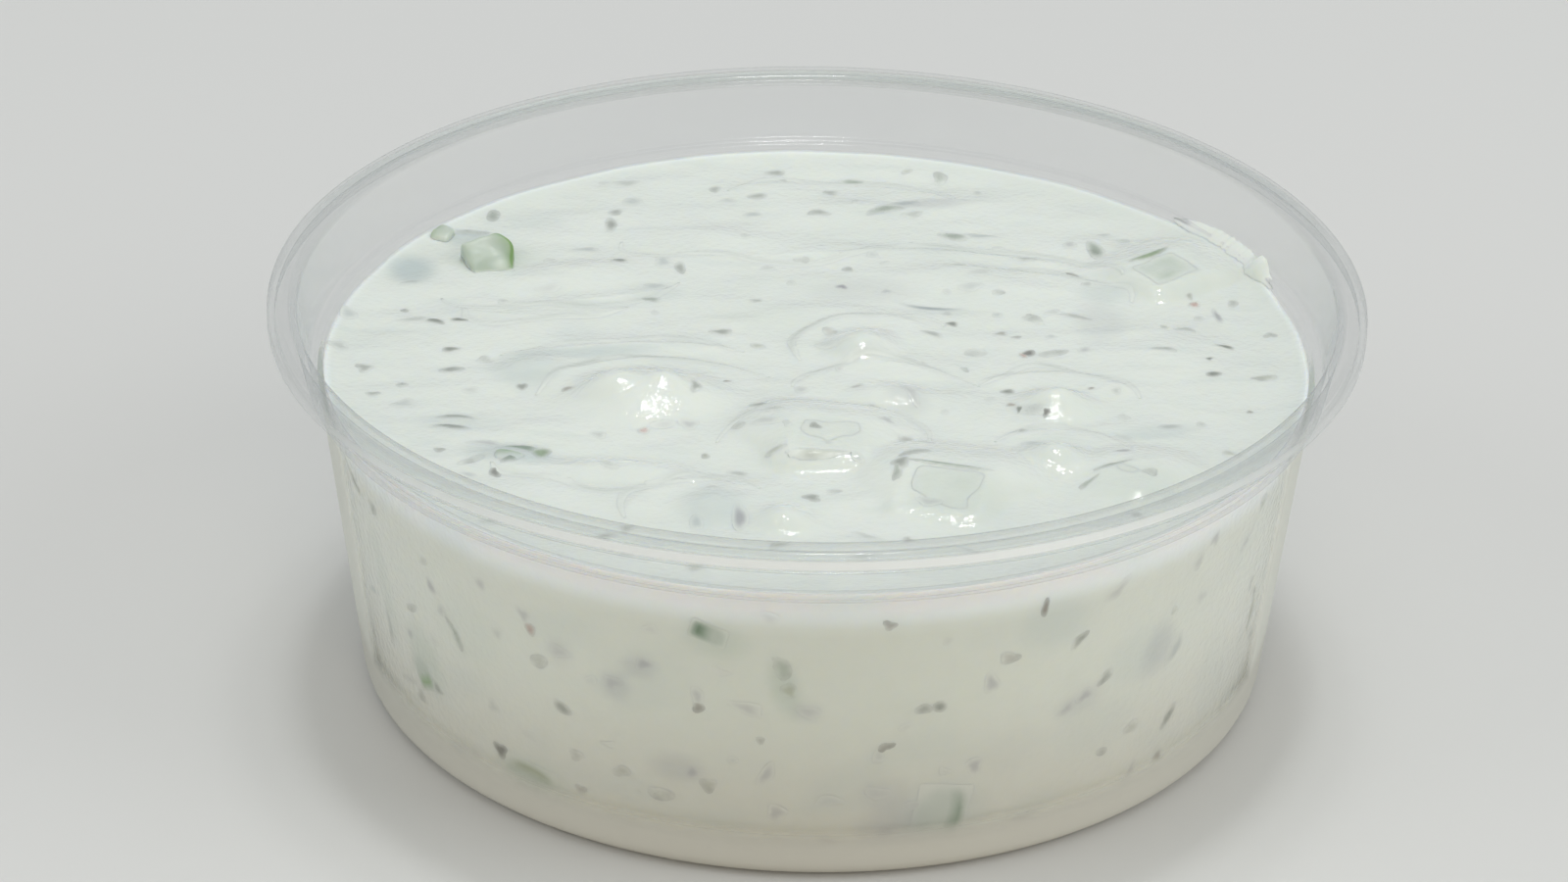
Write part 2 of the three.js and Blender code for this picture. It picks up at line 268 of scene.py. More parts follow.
# Each kind of fleck: its material, and the colours that belong to it.
FLECK_PIECES = {
    "herb_flecks": ("herb", ("herb", "green", "leaf", "olive")),
    "sunk_herb_flecks": ("sunk_herb", ("grey", "blue", "violet")),
    "pepper_specks": ("pepper", ("pepper", "brown")),
    "red_flecks": ("red_bits", ("red", "pink")),
    "pale_stem": ("stem", ("pale",)),
}

# Tinted places where something lies deeper under the top: x, y, half length, half width, turn,
# colour, strength.
TOP_CLOUDS = [
    (-44.8, 20.4, 3.0, 4.0, 0, BLUE_GREY, 0.62),
    (-39.0, 28.6, 3.2, 2.4, 0, BLUE_GREY, 0.38),
    (-31.0, -3.6, 4.2, 4.4, 0, BLUE_GREY, 0.26),
    (-24.5, 0.6, 8.5, 1.4, 8, BLUE_GREY, 0.34),
    (-18.0, 15.5, 3.5, 3.0, 0, BLUE_GREY, 0.16),
    (-26.0, 5.5, 3.0, 3.0, 0, BLUE_GREY, 0.10),
    (-10.2, -34.5, 4.0, 4.4, 0, BLUE_GREY, 0.30),
    (-31.5, -23.0, 6.0, 2.4, -14, BLUE_GREY, 0.40),
    (-37.5, -15.8, 5.0, 2.6, -5, BLUE_GREY, 0.16),
    (5.0, 16.8, 7.0, 3.6, 0, VIOLET_GREY, 0.16),
    (30.8, 10.4, 3.2, 6.0, 0, VIOLET_GREY, 0.18),
    (31.5, 17.2, 3.4, 2.4, 0, BLUE_GREY, 0.26),
    (36.0, -15.4, 5.4, 1.8, 16, BLUE_GREY, 0.24),
    (9.8, -9.6, 2.8, 4.0, 0, VIOLET_GREY, 0.18),
    (25.5, -20.4, 5.0, 5.0, 0, BLUE_GREY, 0.14),
    (12.6, 39.8, 4.6, 1.6, 8, VIOLET_GREY, 0.30),
    (-5.4, 11.0, 8.0, 4.0, 0, GREEN_GREY, 0.06),
    (14.5, -31.6, 5.8, 5.0, -12, GREEN_GREY, 0.22),
    (1.4, -20.3, 6.4, 5.2, 0, GREEN_GREY, 0.12),
    (33.0, -27.4, 5.0, 4.0, 10, GREEN_GREY, 0.16),
    (38.4, 21.0, 6.0, 5.6, 34, GREEN_GREY, 0.14),
    (-36.2, 23.6, 5.0, 4.6, 0, GREEN_GREY, 0.26),
    (9.0, 28.0, 9.0, 3.0, 0, BLUE_GREY, 0.06),
    (-33.0, 34.0, 5.0, 3.0, 0, GREEN_GREY, 0.06),
    (41.0, 8.0, 4.0, 4.0, 0, VIOLET_GREY, 0.08),
    (19.5, -36.0, 5.0, 3.0, 0, BLUE_GREY, 0.10),
]

# The same behind the wall: degrees round from the front towards +X, height, half length along the
# wall, half height, turn, colour, strength.
SIDE_CLOUDS = [
    (44.5, 20.8, 2.6, 3.6, -15, VIOLET_GREY, 0.30),
    (41.5, 21.4, 5.0, 4.0, 0, BLUE_GREY, 0.16),
    (28.5, 29.0, 5.0, 3.4, 0, BLUE_GREY, 0.22),
    (10.2, 6.2, 4.2, 4.0, 0, VIOLET_GREY, 0.26),
    (9.0, 10.6, 3.0, 2.4, 0, VIOLET_GREY, 0.16),
    (16.0, 7.4, 5.6, 5.0, 0, BLUE_GREY, 0.22),
    (-15.6, 12.6, 3.4, 2.0, 0, VIOLET_GREY, 0.26),
    (-35.8, 5.8, 5.4, 3.8, 0, GREEN_GREY, 0.24),
    (-53.5, 14.5, 3.4, 4.4, 24, GREEN_GREY, 0.34),
    (-62.0, 20.0, 2.0, 8.0, 10, GREEN_GREY, 0.20),
    (-23.2, 2.6, 2.8, 2.4, 0, SHADE_AND_CLOUD_GREY, 0.60),
    (-19.8, 24.6, 2.4, 1.6, 10, VIOLET_GREY, 0.26),
    (-22.8, 21.6, 2.0, 2.0, 0, VIOLET_GREY, 0.24),
    (-30.0, 24.0, 2.0, 1.6, 0, VIOLET_GREY, 0.18),
    (-2.9, 24.2, 1.8, 4.0, 14, GREEN_GREY, 0.32),
    (-0.4, 21.2, 2.0, 1.6, 0, VIOLET_GREY, 0.18),
    (-10.6, 29.4, 3.8, 2.4, -10, GREEN_GREY, 0.26),
    (33.0, 18.0, 3.4, 1.8, 10, VIOLET_GREY, 0.20),
    (36.0, 14.0, 6.0, 4.0, 0, BLUE_GREY, 0.10),
    (24.0, 14.0, 5.0, 3.0, 0, VIOLET_GREY, 0.08),
    (57.0, 12.0, 4.0, 6.0, 0, BLUE_GREY, 0.12),
    (-44.0, 22.0, 5.0, 5.0, 0, GREEN_GREY, 0.10),
    (-48.0, 4.6, 2.4, 1.6, 0, VIOLET_GREY, 0.22),
]

# Flecks on the top: x, y, length, width, turn, colour, strength, and the bend of some.
TOP_FLECKS = [
    (-36.6, 34.7, 1.4, 1.6, 0, "green", 0.45),
    (-21.8, 43.6, 2.4, 1.3, 0, "grey", 0.45),
    (-21.1, 38.9, 2.0, 1.3, 8, "blue", 0.45),
    (-22.9, 35.8, 1.2, 1.1, 0, "herb", 0.40),
    (-23.3, 32.6, 1.1, 2.2, 10, "herb", 0.58),
    (-25.7, 26.3, 2.6, 0.9, 4, "blue", 0.50),
    (-22.0, 23.2, 1.5, 0.9, -8, "herb", 0.70),
    (-17.1, 23.1, 1.7, 1.7, 0, "blue", 0.50),
    (-15.2, 21.8, 1.0, 1.8, 0, "herb", 0.55),
    (-17.9, 16.9, 2.4, 1.0, 0, "blue", 0.40),
    (-18.2, 13.9, 1.6, 0.9, 0, "green", 0.50),
    (-50.9, 9.0, 1.5, 1.8, 0, "blue", 0.45),
    (-51.3, 1.2, 1.7, 1.4, 0, "grey", 0.45),
    (-43.6, 8.3, 3.2, 0.8, 4, "grey", 0.45),
    (-41.5, 7.8, 1.9, 0.8, -24, "herb", 0.90, 0.15),
    (-38.8, 8.1, 1.5, 0.7, 0, "herb", 0.95),
    (-39.3, 1.2, 1.6, 0.8, -4, "herb", 0.80),
    (-38.9, -3.5, 2.1, 1.0, 0, "herb", 0.60),
    (-48.2, -3.7, 1.5, 1.1, 0, "herb", 0.55),
    (-46.9, -9.6, 1.0, 0.8, 0, "herb", 0.50),
    (-43.5, -11.7, 2.2, 1.2, 0, "blue", 0.35),
    (-37.7, -14.7, 3.2, 0.7, -7, "herb", 0.70, 0.12),
    (-38.0, -17.1, 3.0, 0.7, -8, "herb", 0.62, 0.10),
    (-31.2, -7.4, 0.9, 1.0, 0, "herb", 0.70),
    (-26.3, -8.4, 1.2, 0.6, 12, "brown", 0.55),
    (-10.3, 6.1, 2.0, 1.1, 0, "herb", 0.70),
    (-17.3, -5.1, 0.5, 0.6, 0, "brown", 0.70),
    (-9.4, -6.0, 0.7, 0.5, 0, "brown", 0.60),
    (-12.7, -9.5, 0.9, 1.7, 0, "herb", 0.62),
    (-13.2, -15.8, 1.6, 1.3, 0, "violet", 0.42),
    (-17.9, -17.2, 0.9, 1.0, 0, "pink", 0.60),
    (-22.6, -18.3, 1.4, 0.9, 0, "grey", 0.40),
    (-5.1, 47.6, 1.5, 1.2, 0, "herb", 0.50),
    (-4.1, 45.6, 1.0, 0.8, 0, "grey", 0.40),
    (-7.0, 41.0, 1.8, 1.0, 4, "herb", 0.60),
    (-7.4, 36.3, 1.6, 1.0, 0, "blue", 0.55),
    (0.0, 36.5, 1.9, 1.0, 8, "herb", 0.48, 0.1),
    (-5.9, -12.2, 1.6, 1.0, 14, "herb", 0.62),
    (0.0, -19.1, 1.2, 1.0, 0, "herb", 0.50),
    (-7.8, -26.3, 1.7, 1.0, -12, "grey", 0.62),
    (-7.5, -36.4, 1.3, 3.0, 4, "violet", 0.80),
    (-11.9, -37.4, 0.9, 2.2, 6, "blue", 0.50),
    (-0.2, -31.9, 1.6, 0.9, -8, "herb", 0.50),
    (3.7, 45.9, 2.5, 1.0, 0, "green", 0.60),
    (13.8, 47.1, 1.4, 1.6, 0, "green", 0.35),
    (7.6, 37.6, 3.8, 1.2, 30, "green", 0.55, 0.1),
    (9.8, 39.4, 3.2, 1.0, 16, "blue", 0.60, 0.1),
    (15.2, 31.4, 2.6, 1.3, 4, "green", 0.60),
    (18.0, 31.7, 3.2, 0.8, -2, "blue", 0.55, 0.05),
    (30.9, 28.3, 1.4, 3.2, 12, "green", 0.70),
    (28.1, 29.6, 1.2, 1.2, 0, "violet", 0.45),
    (23.0, 26.0, 2.2, 0.8, -4, "herb", 0.50),
    (29.7, 19.3, 1.2, 0.9, 0, "grey", 0.50),
    (16.8, 17.4, 2.2, 1.1, 0, "blue", 0.36),
    (2.7, 17.6, 1.0, 0.8, 0, "violet", 0.90),
    (7.6, 16.5, 0.9, 0.8, 0, "blue", 0.45),
    (12.4, 13.2, 5.4, 0.62, -9, "blue", 0.92, -0.1),
    (14.7, 9.1, 1.1, 0.8, -14, "herb", 0.85),
    (12.5, 6.3, 2.2, 0.8, -28, "grey", 0.68),
    (1.4, 6.2, 1.3, 1.2, 20, "brown", 0.34),
    (20.0, 7.2, 1.3, 0.7, 0, "brown", 0.50),
    (21.6, 6.3, 0.9, 0.5, 0, "brown", 0.42),
    (22.8, 2.6, 1.4, 0.9, 32, "pepper", 0.90),
    (22.3, 2.1, 0.7, 0.8, 20, "red", 0.60),
    (28.9, 3.1, 1.3, 1.0, 0, "violet", 0.48),
    (41.3, 15.0, 0.9, 1.2, 0, "red", 0.70),
    (40.8, 16.6, 0.7, 0.6, 0, "herb", 0.55),
    (43.7, 12.1, 0.6, 2.6, 8, "violet", 0.80),
    (41.6, 11.6, 1.0, 0.8, 0, "grey", 0.35),
    (37.7, 9.3, 0.7, 0.7, 0, "herb", 0.50),
    (44.2, 4.9, 1.7, 0.6, -24, "herb", 0.95),
    (42.2, 1.5, 0.6, 0.5, 0, "herb", 0.85),
    (42.5, -2.1, 1.4, 0.9, 0, "herb", 0.90),
    (20.4, -6.7, 1.4, 0.8, 12, "herb", 0.75),
    (20.7, -10.3, 0.9, 0.7, -30, "brown", 0.75),
    (22.9, -12.0, 3.2, 0.95, -14, "pale", 0.85),
    (21.5, -11.5, 0.55, 1.0, 0, "herb", 0.95),
    (24.3, -12.6, 0.7, 0.8, 0, "pepper", 0.85),
    (29.3, -6.1, 0.6, 0.5, 0, "brown", 0.65),
    (31.9, -6.7, 0.9, 0.7, 0, "grey", 0.45),
    (4.4, -7.0, 0.9, 0.6, 0, "brown", 0.45),
    (10.2, -9.4, 0.9, 2.6, 24, "violet", 0.36, 0.2),
    (6.0, -11.7, 0.9, 1.0, 0, "herb", 0.42),
    (7.5, -16.3, 1.2, 1.0, 0, "violet", 0.50),
    (37.3, -14.3, 2.0, 0.9, 8, "grey", 0.58),
    (32.1, -21.6, 1.7, 0.7, 0, "violet", 0.80),
    (45.9, -10.2, 0.6, 0.6, 0, "brown", 0.50),
    (11.8, -33.6, 2.0, 1.0, -8, "violet", 0.40),
    (-28.4, -22.8, 1.7, 1.5, -18, "leaf", 0.85),
    (-30.4, -21.9, 3.4, 0.9, -16, "green", 0.88, 0.06),
    (-31.5, -24.3, 1.2, 1.5, -30, "green", 0.68),
    (-33.0, -27.0, 0.9, 1.3, 0, "pepper", 0.72),
    (-34.2, -20.6, 3.0, 0.7, -16, "violet", 0.50, 0.08),
    (8.9, -26.8, 1.5, 1.2, 55, "herb", 0.60),
    (8.5, -28.4, 0.7, 2.2, -6, "green", 0.45),
    (13.6, -27.4, 7.4, 0.4, -14, "green", 0.55),
    (0.1, -24.3, 5.4, 0.8, 2, "olive", 0.42),
    (36.6, 24.2, 4.2, 0.8, 34, "leaf", 0.95, -0.06),
    (28.2, -27.6, 2.4, 0.5, 50, "green", 0.50),
    (30.6, -24.8, 3.0, 0.4, 20, "green", 0.45),
]

# Flecks against the wall: degrees round from the front towards +X, height, length, width, turn,
# colour, strength, and the bend of some.
SIDE_FLECKS = [
    (-61.9, 29.3, 1.2, 1.3, 0, "herb", 0.45),
    (-49.8, 25.0, 1.7, 1.1, -50, "violet", 0.75),
    (-48.4, 22.6, 1.2, 1.0, -40, "violet", 0.40),
    (-40.6, 28.9, 1.3, 1.3, 0, "violet", 0.50),
    (-46.2, 20.4, 2.7, 0.9, -58, "green", 0.52, 0.1),
    (-56.4, 16.4, 1.0, 1.1, 0, "violet", 0.60),
    (-62.3, 14.6, 4.2, 1.0, -84, "grey", 0.60, 0.05),
    (-38.8, 23.4, 1.3, 1.1, 0, "grey", 0.34),
    (-34.5, 27.2, 1.7, 1.1, -60, "violet", 0.55),
    (-33.7, 25.7, 1.4, 1.0, -60, "red", 0.62),
    (-30.0, 24.0, 1.8, 1.3, 0, "violet", 0.32),
    (-32.9, 21.9, 1.6, 1.4, 0, "olive", 0.18),
    (-19.1, 25.1, 1.6, 1.2, 20, "violet", 0.60),
    (-23.2, 21.9, 1.6, 1.4, 0, "violet", 0.44),
    (-30.2, 16.9, 1.8, 1.1, -18, "herb", 0.74),
    (-40.9, 13.5, 1.3, 1.3, 0, "grey", 0.36),
    (-12.9, 22.2, 1.2, 1.6, 0, "violet", 0.50),
    (-12.8, 20.8, 1.1, 1.1, 0, "brown", 0.60),
    (-7.2, 21.3, 2.8, 1.2, -18, "violet", 0.46),
    (-41.2, 2.4, 1.0, 1.5, 0, "olive", 0.40),
    (-32.8, 3.9, 1.2, 1.2, 0, "violet", 0.34),
    (-13.8, 12.4, 1.2, 1.3, 0, "violet", 0.60),
    (-5.0, 13.1, 2.4, 1.1, 62, "violet", 0.56),
    (-3.8, 8.3, 1.7, 1.4, 0, "violet", 0.52),
    (2.2, 4.7, 0.9, 0.9, 0, "brown", 0.68),
    (-11.9, 11.0, 1.4, 1.4, 0, "olive", 0.30),
    (-17.8, 8.9, 2.4, 1.2, 0, "olive", 0.18),
    (-28.5, 7.0, 0.9, 0.9, 0, "brown", 0.36),
    (-60.2, 3.1, 2.0, 1.1, -60, "violet", 0.55),
    (-69.4, 5.5, 3.2, 1.1, -80, "grey", 0.60),
    (-22.7, 10.8, 1.4, 1.2, 0, "olive", 0.24),
    (-0.2, 21.2, 1.8, 1.3, -20, "violet", 0.30),
    (8.0, 15.4, 1.2, 1.2, 0, "violet", 0.26),
    (52.2, 31.6, 1.8, 1.1, 62, "violet", 0.62),
    (49.6, 29.8, 1.7, 1.1, 50, "violet", 0.42),
    (60.1, 27.8, 1.6, 0.9, 60, "violet", 0.44),
    (36.4, 30.8, 2.4, 1.2, 36, "violet", 0.42),
    (26.7, 31.3, 0.8, 1.5, 0, "brown", 0.90),
    (8.6, 31.8, 1.1, 0.9, 0, "brown", 0.48),
    (31.8, 26.0, 1.8, 0.9, 40, "herb", 0.64),
    (51.4, 24.7, 1.4, 1.2, 0, "violet", 0.30),
    (22.9, 25.9, 1.8, 1.1, 0, "brown", 0.36),
    (20.9, 23.1, 1.3, 2.0, 12, "violet", 0.66),
    (36.4, 20.1, 1.7, 1.0, 36, "herb", 0.56),
    (67.3, 16.1, 3.2, 1.2, 84, "olive", 0.60),
    (64.7, 20.9, 2.0, 1.0, 80, "violet", 0.40),
    (33.6, 18.6, 1.5, 1.2, 20, "violet", 0.56),
    (31.2, 17.6, 1.5, 1.1, 20, "violet", 0.46),
    (14.9, 21.1, 1.2, 1.1, 0, "herb", 0.78),
    (13.0, 21.0, 1.4, 1.0, 0, "herb", 0.52),
    (48.7, 10.9, 2.4, 1.1, 42, "herb", 0.68),
    (47.4, 19.8, 3.2, 1.3, 72, "blue", 0.62, -0.2),
    (57.9, 5.0, 1.2, 1.2, 0, "violet", 0.40),
    (47.7, 6.0, 1.2, 1.0, 20, "brown", 0.60),
    (42.7, 5.8, 2.6, 1.0, 66, "violet", 0.52),
    (8.7, 16.5, 1.4, 0.9, 34, "brown", 0.50),
    (39.1, 2.2, 1.4, 1.0, -30, "violet", 0.60),
    (9.3, 5.5, 1.9, 1.8, 0, "violet", 0.46),
    (19.7, 12.9, 1.7, 1.4, 10, "violet", 0.62),
    (18.9, 2.9, 1.7, 1.1, 30, "herb", 0.66),
    (8.1, 10.7, 1.8, 1.5, 0, "violet", 0.22),
    (41.8, 12.0, 1.4, 1.2, 0, "olive", 0.22),
    (63.1, 5.4, 1.2, 1.4, 0, "green", 0.30),
    (7.6, 2.2, 1.0, 0.8, 0, "brown", 0.40),
    (-40.5, 8.1, 1.5, 1.5, 0, "pepper", 0.95),
    (-3.4, 26.4, 2.6, 1.2, -58, "green", 0.46, 0.2),
    (-2.4, 23.8, 1.6, 1.2, -62, "olive", 0.62),
    (-51.6, 11.6, 1.3, 1.1, -40, "herb", 0.62),
]

# Seeded scatter between them: how many flecks, and how strong from and to.
TOP_SCATTER = (95, 0.16, 0.42)
FRONT_SCATTER = (26, 0.14, 0.3)
BACK_SCATTER = (150, 0.25, 0.8)
BASE_SCATTER = (60, 0.2, 0.6)
TOP_SCATTER_RADIUS = 50.5
BASE_SCATTER_RADIUS = 46
SCATTER_HEIGHTS = (3.5, 33)
SCATTER_COLOURS = ["herb"] * 4 + ["grey"] * 5 + ["blue"] * 4 + ["violet"] * 4 + ["olive", "brown", "green"]
SCATTER_LENGTHS = [0.8, 1.0, 1.2, 1.4, 1.8, 2.4]
SCATTER_LENGTH_SPREAD = (0.85, 1.15)
SCATTER_WIDTHS = (0.6, 1.1)
SCATTER_TURN = 35
SCATTER_BEND = 0.08  # only the long ones are bent
SCATTER_LONG = 1.6
SCATTER_APART = 2.3
FRONT_REACH = 66  # degrees from the front that the placed flecks cover

TOP_FLECK_LONGER = 1.4
TOP_FLECK_WIDER = 1.6
TOP_FLECK_STRENGTH = 0.72
SIDE_FLECK_WIDER = 1.4
SIDE_FLECK_STRENGTH = 0.62
FLECK_UNEVEN = 0.26
FLECK_RINGS = (0.0, 0.3, 0.52, 0.7, 0.84, 0.94, 1.0)
FLECK_SIDES = 16
TOP_FLECK_RISE = 0.04
WALL_RISE = 0.02
FLECK_DEPTH = 0.35
FLECK_SINK = 1.25  # the edge of a fleck goes under the surface by this share of its rise
FLECK_CLEAR = 0.4  # how much of a fleck, seen at full strength, has its full colour
FLECK_FADED = 0.97

# ---------------------------------------------------------------- cucumber
PEEL_BOW = 0.16
CUT_TAPER = 0.84
CUT_ROUND = 0.55
CUT_ROUND_MOST = 0.8  # as a share of the smallest half size
BLOCK_CELLS = 16
WALL_LENS = 4.0  # the outline of a piece at the wall sinks under by this many times its rise
WALL_OUTLINE_UNEVEN = 0.22
WALL_OUTLINE_SIZE = 2.5
WALL_ROUGHNESS = (0.15, 2.2)  # how far a surface is moved, and over what size
WALL_BORDER = 1.1  # how wide the outline is that sinks under
WALL_FLESH_BORDER = (0.5, 1.2)
WALL_PEEL_BORDER = (0.5, 1.7)
WALL_FLESH_FADE = (0.95, 0.45)
WALL_PEEL_FADE = (0.85, 0.25)
WALL_FLESH_DIM = 0.8
BIT_ROUGHNESS = (0.2, 1.6)
DIE_ROUGHNESS_SIZE = 2.6
SKIN, RIND = 0.5, 1.7  # how deep the peel and the greener flesh under it go
BIT_SKIN, BIT_RIND = 0.4, 1.2
SKIN_FROM, RIND_FROM = 0.25, 0.3
SKIN_SHARE, RIND_SHARE, MOTTLE_SHARE = 0.95, 0.8, 0.16
MOTTLE_FROM = (0.15, 0.6)
PEEL_BLUR_AT = 1.7
FILM_PATCHES = 0.6
FILM_EDGE = 0.22  # a piece shows clearly where it stands this far out of the yogurt

# Pieces at the top: size, turn, tip, roll as in the CAD model, how far the yogurt over the middle
# of the piece stays below it, how much of a film still lies there, how uneven the piece is, and the
# colour of its peel.
TOP_CUCUMBERS = {
    "cucumber_front": ([9.8, 9, 6.4], -12, 9, -2, 0.10, 0.45, 0.06, "green"),
    "cucumber_middle": ([8.8, 8, 6], 177, 4, 3, 0.08, 0.54, 0.06, "olive"),
    "cucumber_edge": ([6.4, 5.6, 5.2], 75, 6, -5, 0.12, 0.50, 0.05, "green"),
    "cucumber_right": ([7.6, 7, 5.6], 34, 4, -3, 0.20, 0.24, 0.05, "leaf"),
    "cucumber_back_left": ([5.6, 5.4, 5], -70, 30, 5, 0, 0.08, 0.40, "leaf"),
}
COVERED_CUCUMBERS = ["cucumber_front", "cucumber_middle", "cucumber_edge", "cucumber_right"]
# Pieces against the wall: size, turn of the peel from the top, how clearly the flesh shows, how
# clearly the peel shows, its colour, and how wide the blurred peel is.
WALL_CUCUMBERS = {
    "cucumber_wall_low_right": ([9.0, 7.4, 5], -100, 0.34, 0.55, "green", 1.3),
    "cucumber_wall_top": ([3.8, 5.6, 3], 70, 0.55, 0.85, "green", 1.7),
    "cucumber_wall_low_left": ([8.2, 5.4, 4], -6, 0.34, 0.50, "olive", 1.0),
    "cucumber_wall_left": ([4.8, 5.6, 3.6], -155, 0.45, 0.75, "leaf", 1.2),
}
# Small bits at the top: x, y, height, size, turn, tip, how much of a film of yogurt lies on them.
CUCUMBER_BITS = [
    (-42.0, 29.2, 34.6, [2.9, 2.4, 2.0], 70, 12, 0.35),
    (-31.6, -23.8, 34.7, [3.6, 2.4, 1.8], -16, 8, 0.55),
]

CLEAR_CROSSINGS = 32  # a view through both sides of the lip crosses many clear faces

rng = random.Random(SEED)


# ================================================================ profiles of the cup
def arc(radius, height, rounding, start, end):
    """Points along an arc of a profile, with angles in degrees from the outward direction."""
    points = []
    for step in range(ARC_STEPS + 1):
        angle = math.radians(start + (end - start) * step / ARC_STEPS)
        points.append((radius + rounding * math.cos(angle), height + rounding * math.sin(angle)))
    return points


def body_radius(height):
    return BODY_TOP_RADIUS + BODY_LEAN * (height - SHELF_HEIGHT)


def collar_radius(height):
    return BODY_TOP_RADIUS + SHELF_STEP + COLLAR_LEAN * (height - SHELF_HEIGHT - SHELF_ROUND)


def inside_radius(height, gap=0.0):
    return body_radius(height) - (WALL + gap) * BODY_STRETCH


def filled_radius(height):
    """How far out the dip reaches, just into the wall and its round corner at the floor."""
    rounding = FOOT_ROUND - WALL + INTO_WALL
    start = FLOOR_HEIGHT - INTO_WALL + rounding
    below = np.clip(start - height, 0, rounding)
    straight = inside_radius(np.maximum(height, start), -INTO_WALL)
    return straight - rounding + np.sqrt(rounding**2 - below**2)


def inside_corner(gap):
    """The round corner between the floor and the wall, inside, moved inwards by a gap."""
    rounding = FOOT_ROUND - WALL - gap
    height = FLOOR_HEIGHT + gap + rounding
    radius = inside_radius(height, gap) - rounding * BODY_STRETCH
    return arc(radius, height, rounding, -90, -BODY_ANGLE)


def cup_outside():
    foot_radius = body_radius(FOOT_ROUND) - FOOT_ROUND * BODY_STRETCH
    ring_inner = foot_radius - FOOT_RING_WIDTH
    under_shelf = SHELF_HEIGHT - SHELF_ROUND
    over_shelf = SHELF_HEIGHT + SHELF_ROUND
    under_lip = HEIGHT - LIP_THICKNESS - SHELF_ROUND
    under_shelf_radius = body_radius(under_shelf) + SHELF_ROUND * BODY_STRETCH
    over_shelf_radius = collar_radius(over_shelf) - SHELF_ROUND * COLLAR_STRETCH
    under_lip_radius = collar_radius(under_lip) + SHELF_ROUND * COLLAR_STRETCH
    return [
        (0, BASE_RECESS),
        (ring_inner - FOOT_RING_BEVEL, BASE_RECESS),
        (ring_inner, 0),
        *arc(foot_radius, FOOT_ROUND, FOOT_ROUND, -90, -BODY_ANGLE),
        *arc(under_shelf_radius, under_shelf, SHELF_ROUND, 180 - BODY_ANGLE, 90),
        *arc(over_shelf_radius, over_shelf, SHELF_ROUND, -90, -COLLAR_ANGLE),
        *arc(under_lip_radius, under_lip, SHELF_ROUND, 180 - COLLAR_ANGLE, 90),
    ]


def cup_lip():
    skirt_middle = RIM_RADIUS - LIP_THICKNESS / 2
    shoulder_radius = RIM_RADIUS - LIP_SHOULDER
    bead_radius = RIM_INNER_RADIUS + LIP_BEAD
    skirt_round = LIP_THICKNESS / 2
    return [
        (RIM_RADIUS - LIP_THICKNESS, HEIGHT - LIP_THICKNESS),
        *arc(skirt_middle, HEIGHT - LIP_DROP + skirt_round, skirt_round, 180, 360),
        *arc(shoulder_radius, HEIGHT - LIP_SHOULDER, LIP_SHOULDER, 0, 90),
        ((shoulder_radius + bead_radius) / 2, HEIGHT - LIP_GROOVE_DEPTH),
        *arc(bead_radius, HEIGHT - LIP_BEAD, LIP_BEAD, 90, 180),
    ]


def cup_inside():
    shelf_top = SHELF_HEIGHT + WALL
    over_shelf = shelf_top + SHELF_ROUND
    under_shelf = shelf_top - SHELF_ROUND
    over_shelf_radius = collar_radius(over_shelf) - (WALL + SHELF_ROUND) * COLLAR_STRETCH
    under_shelf_radius = inside_radius(under_shelf) + SHELF_ROUND * BODY_STRETCH
    return [
        *arc(over_shelf_radius, over_shelf, SHELF_ROUND, -COLLAR_ANGLE, -90),
        *arc(under_shelf_radius, under_shelf, SHELF_ROUND, 90, 180 - BODY_ANGLE),
        *inside_corner(0)[::-1],
        (0, FLOOR_HEIGHT),
    ]


def with_holding_rings(profile):
    """The profile with a point close to each end of every long straight part."""
    held = [profile[0]]
    for (radius, height), (next_radius, next_height) in zip(profile, profile[1:]):
        length = math.hypot(next_radius - radius, next_height - height)
        if length > 3 * HOLD:
            for share in (HOLD / length, 1 - HOLD / length):
                held.append((
                    radius + (next_radius - radius) * share,
                    height + (next_height - height) * share,
                ))
        held.append((next_radius, next_height))
    return held


# ================================================================ meshes
def make_object(name, points, faces, tint=None):
    """A smooth mesh object from points in millimetres, with a colour at each point if given."""
    mesh = bpy.data.meshes.new(name)
    mesh.from_pydata([tuple(float(value) * MM for value in point) for point in points], [], faces)
    mesh.polygons.foreach_set("use_smooth", [True] * len(mesh.polygons))
    if tint is not None:
        layer = mesh.color_attributes.new("tint", "FLOAT_COLOR", "POINT")
        colours = np.ones((len(points), 4), np.float32)
        colours[:, :3] = tint
        layer.data.foreach_set("color", colours.ravel())
    mesh.update()
    made = bpy.data.objects.new(name, mesh)
    bpy.context.collection.objects.link(made)
    return made


def lathe(name, profile, segments):
    """Turns a profile, from the axis round to the axis, into a closed solid."""
    turns = [2 * math.pi * step / segments for step in range(segments)]
    points, rings = [], []
    for radius, height in profile:
        if radius == 0:
            rings.append([len(points)] * segments)
            points.append((0, 0, height))
            continue
        rings.append(list(range(len(points), len(points) + segments)))
        points += [(radius * math.cos(turn), radius * math.sin(turn), height) for turn in turns]
    faces = []
    for low, high in zip(rings, rings[1:]):
        for step in range(segments):
            after = (step + 1) % segments
            corners = [low[step], low[after], high[after], high[step]]
            faces.append(tuple(dict.fromkeys(corners)))
    return make_object(name, points, faces)


def tube_faces(rings, around):
    """Faces of a closed tube. Its rings follow each other and run clockwise, seen along the tube."""
    faces = [tuple(range(around))[::-1]]
    for ring in range(rings - 1):
        low, high = ring * around, (ring + 1) * around
        for side in range(around):
            after = (side + 1) % around
            faces.append((low + side, low + after, high + after, high + side))
    faces.append(tuple((rings - 1) * around + side for side in range(around)))
    return faces


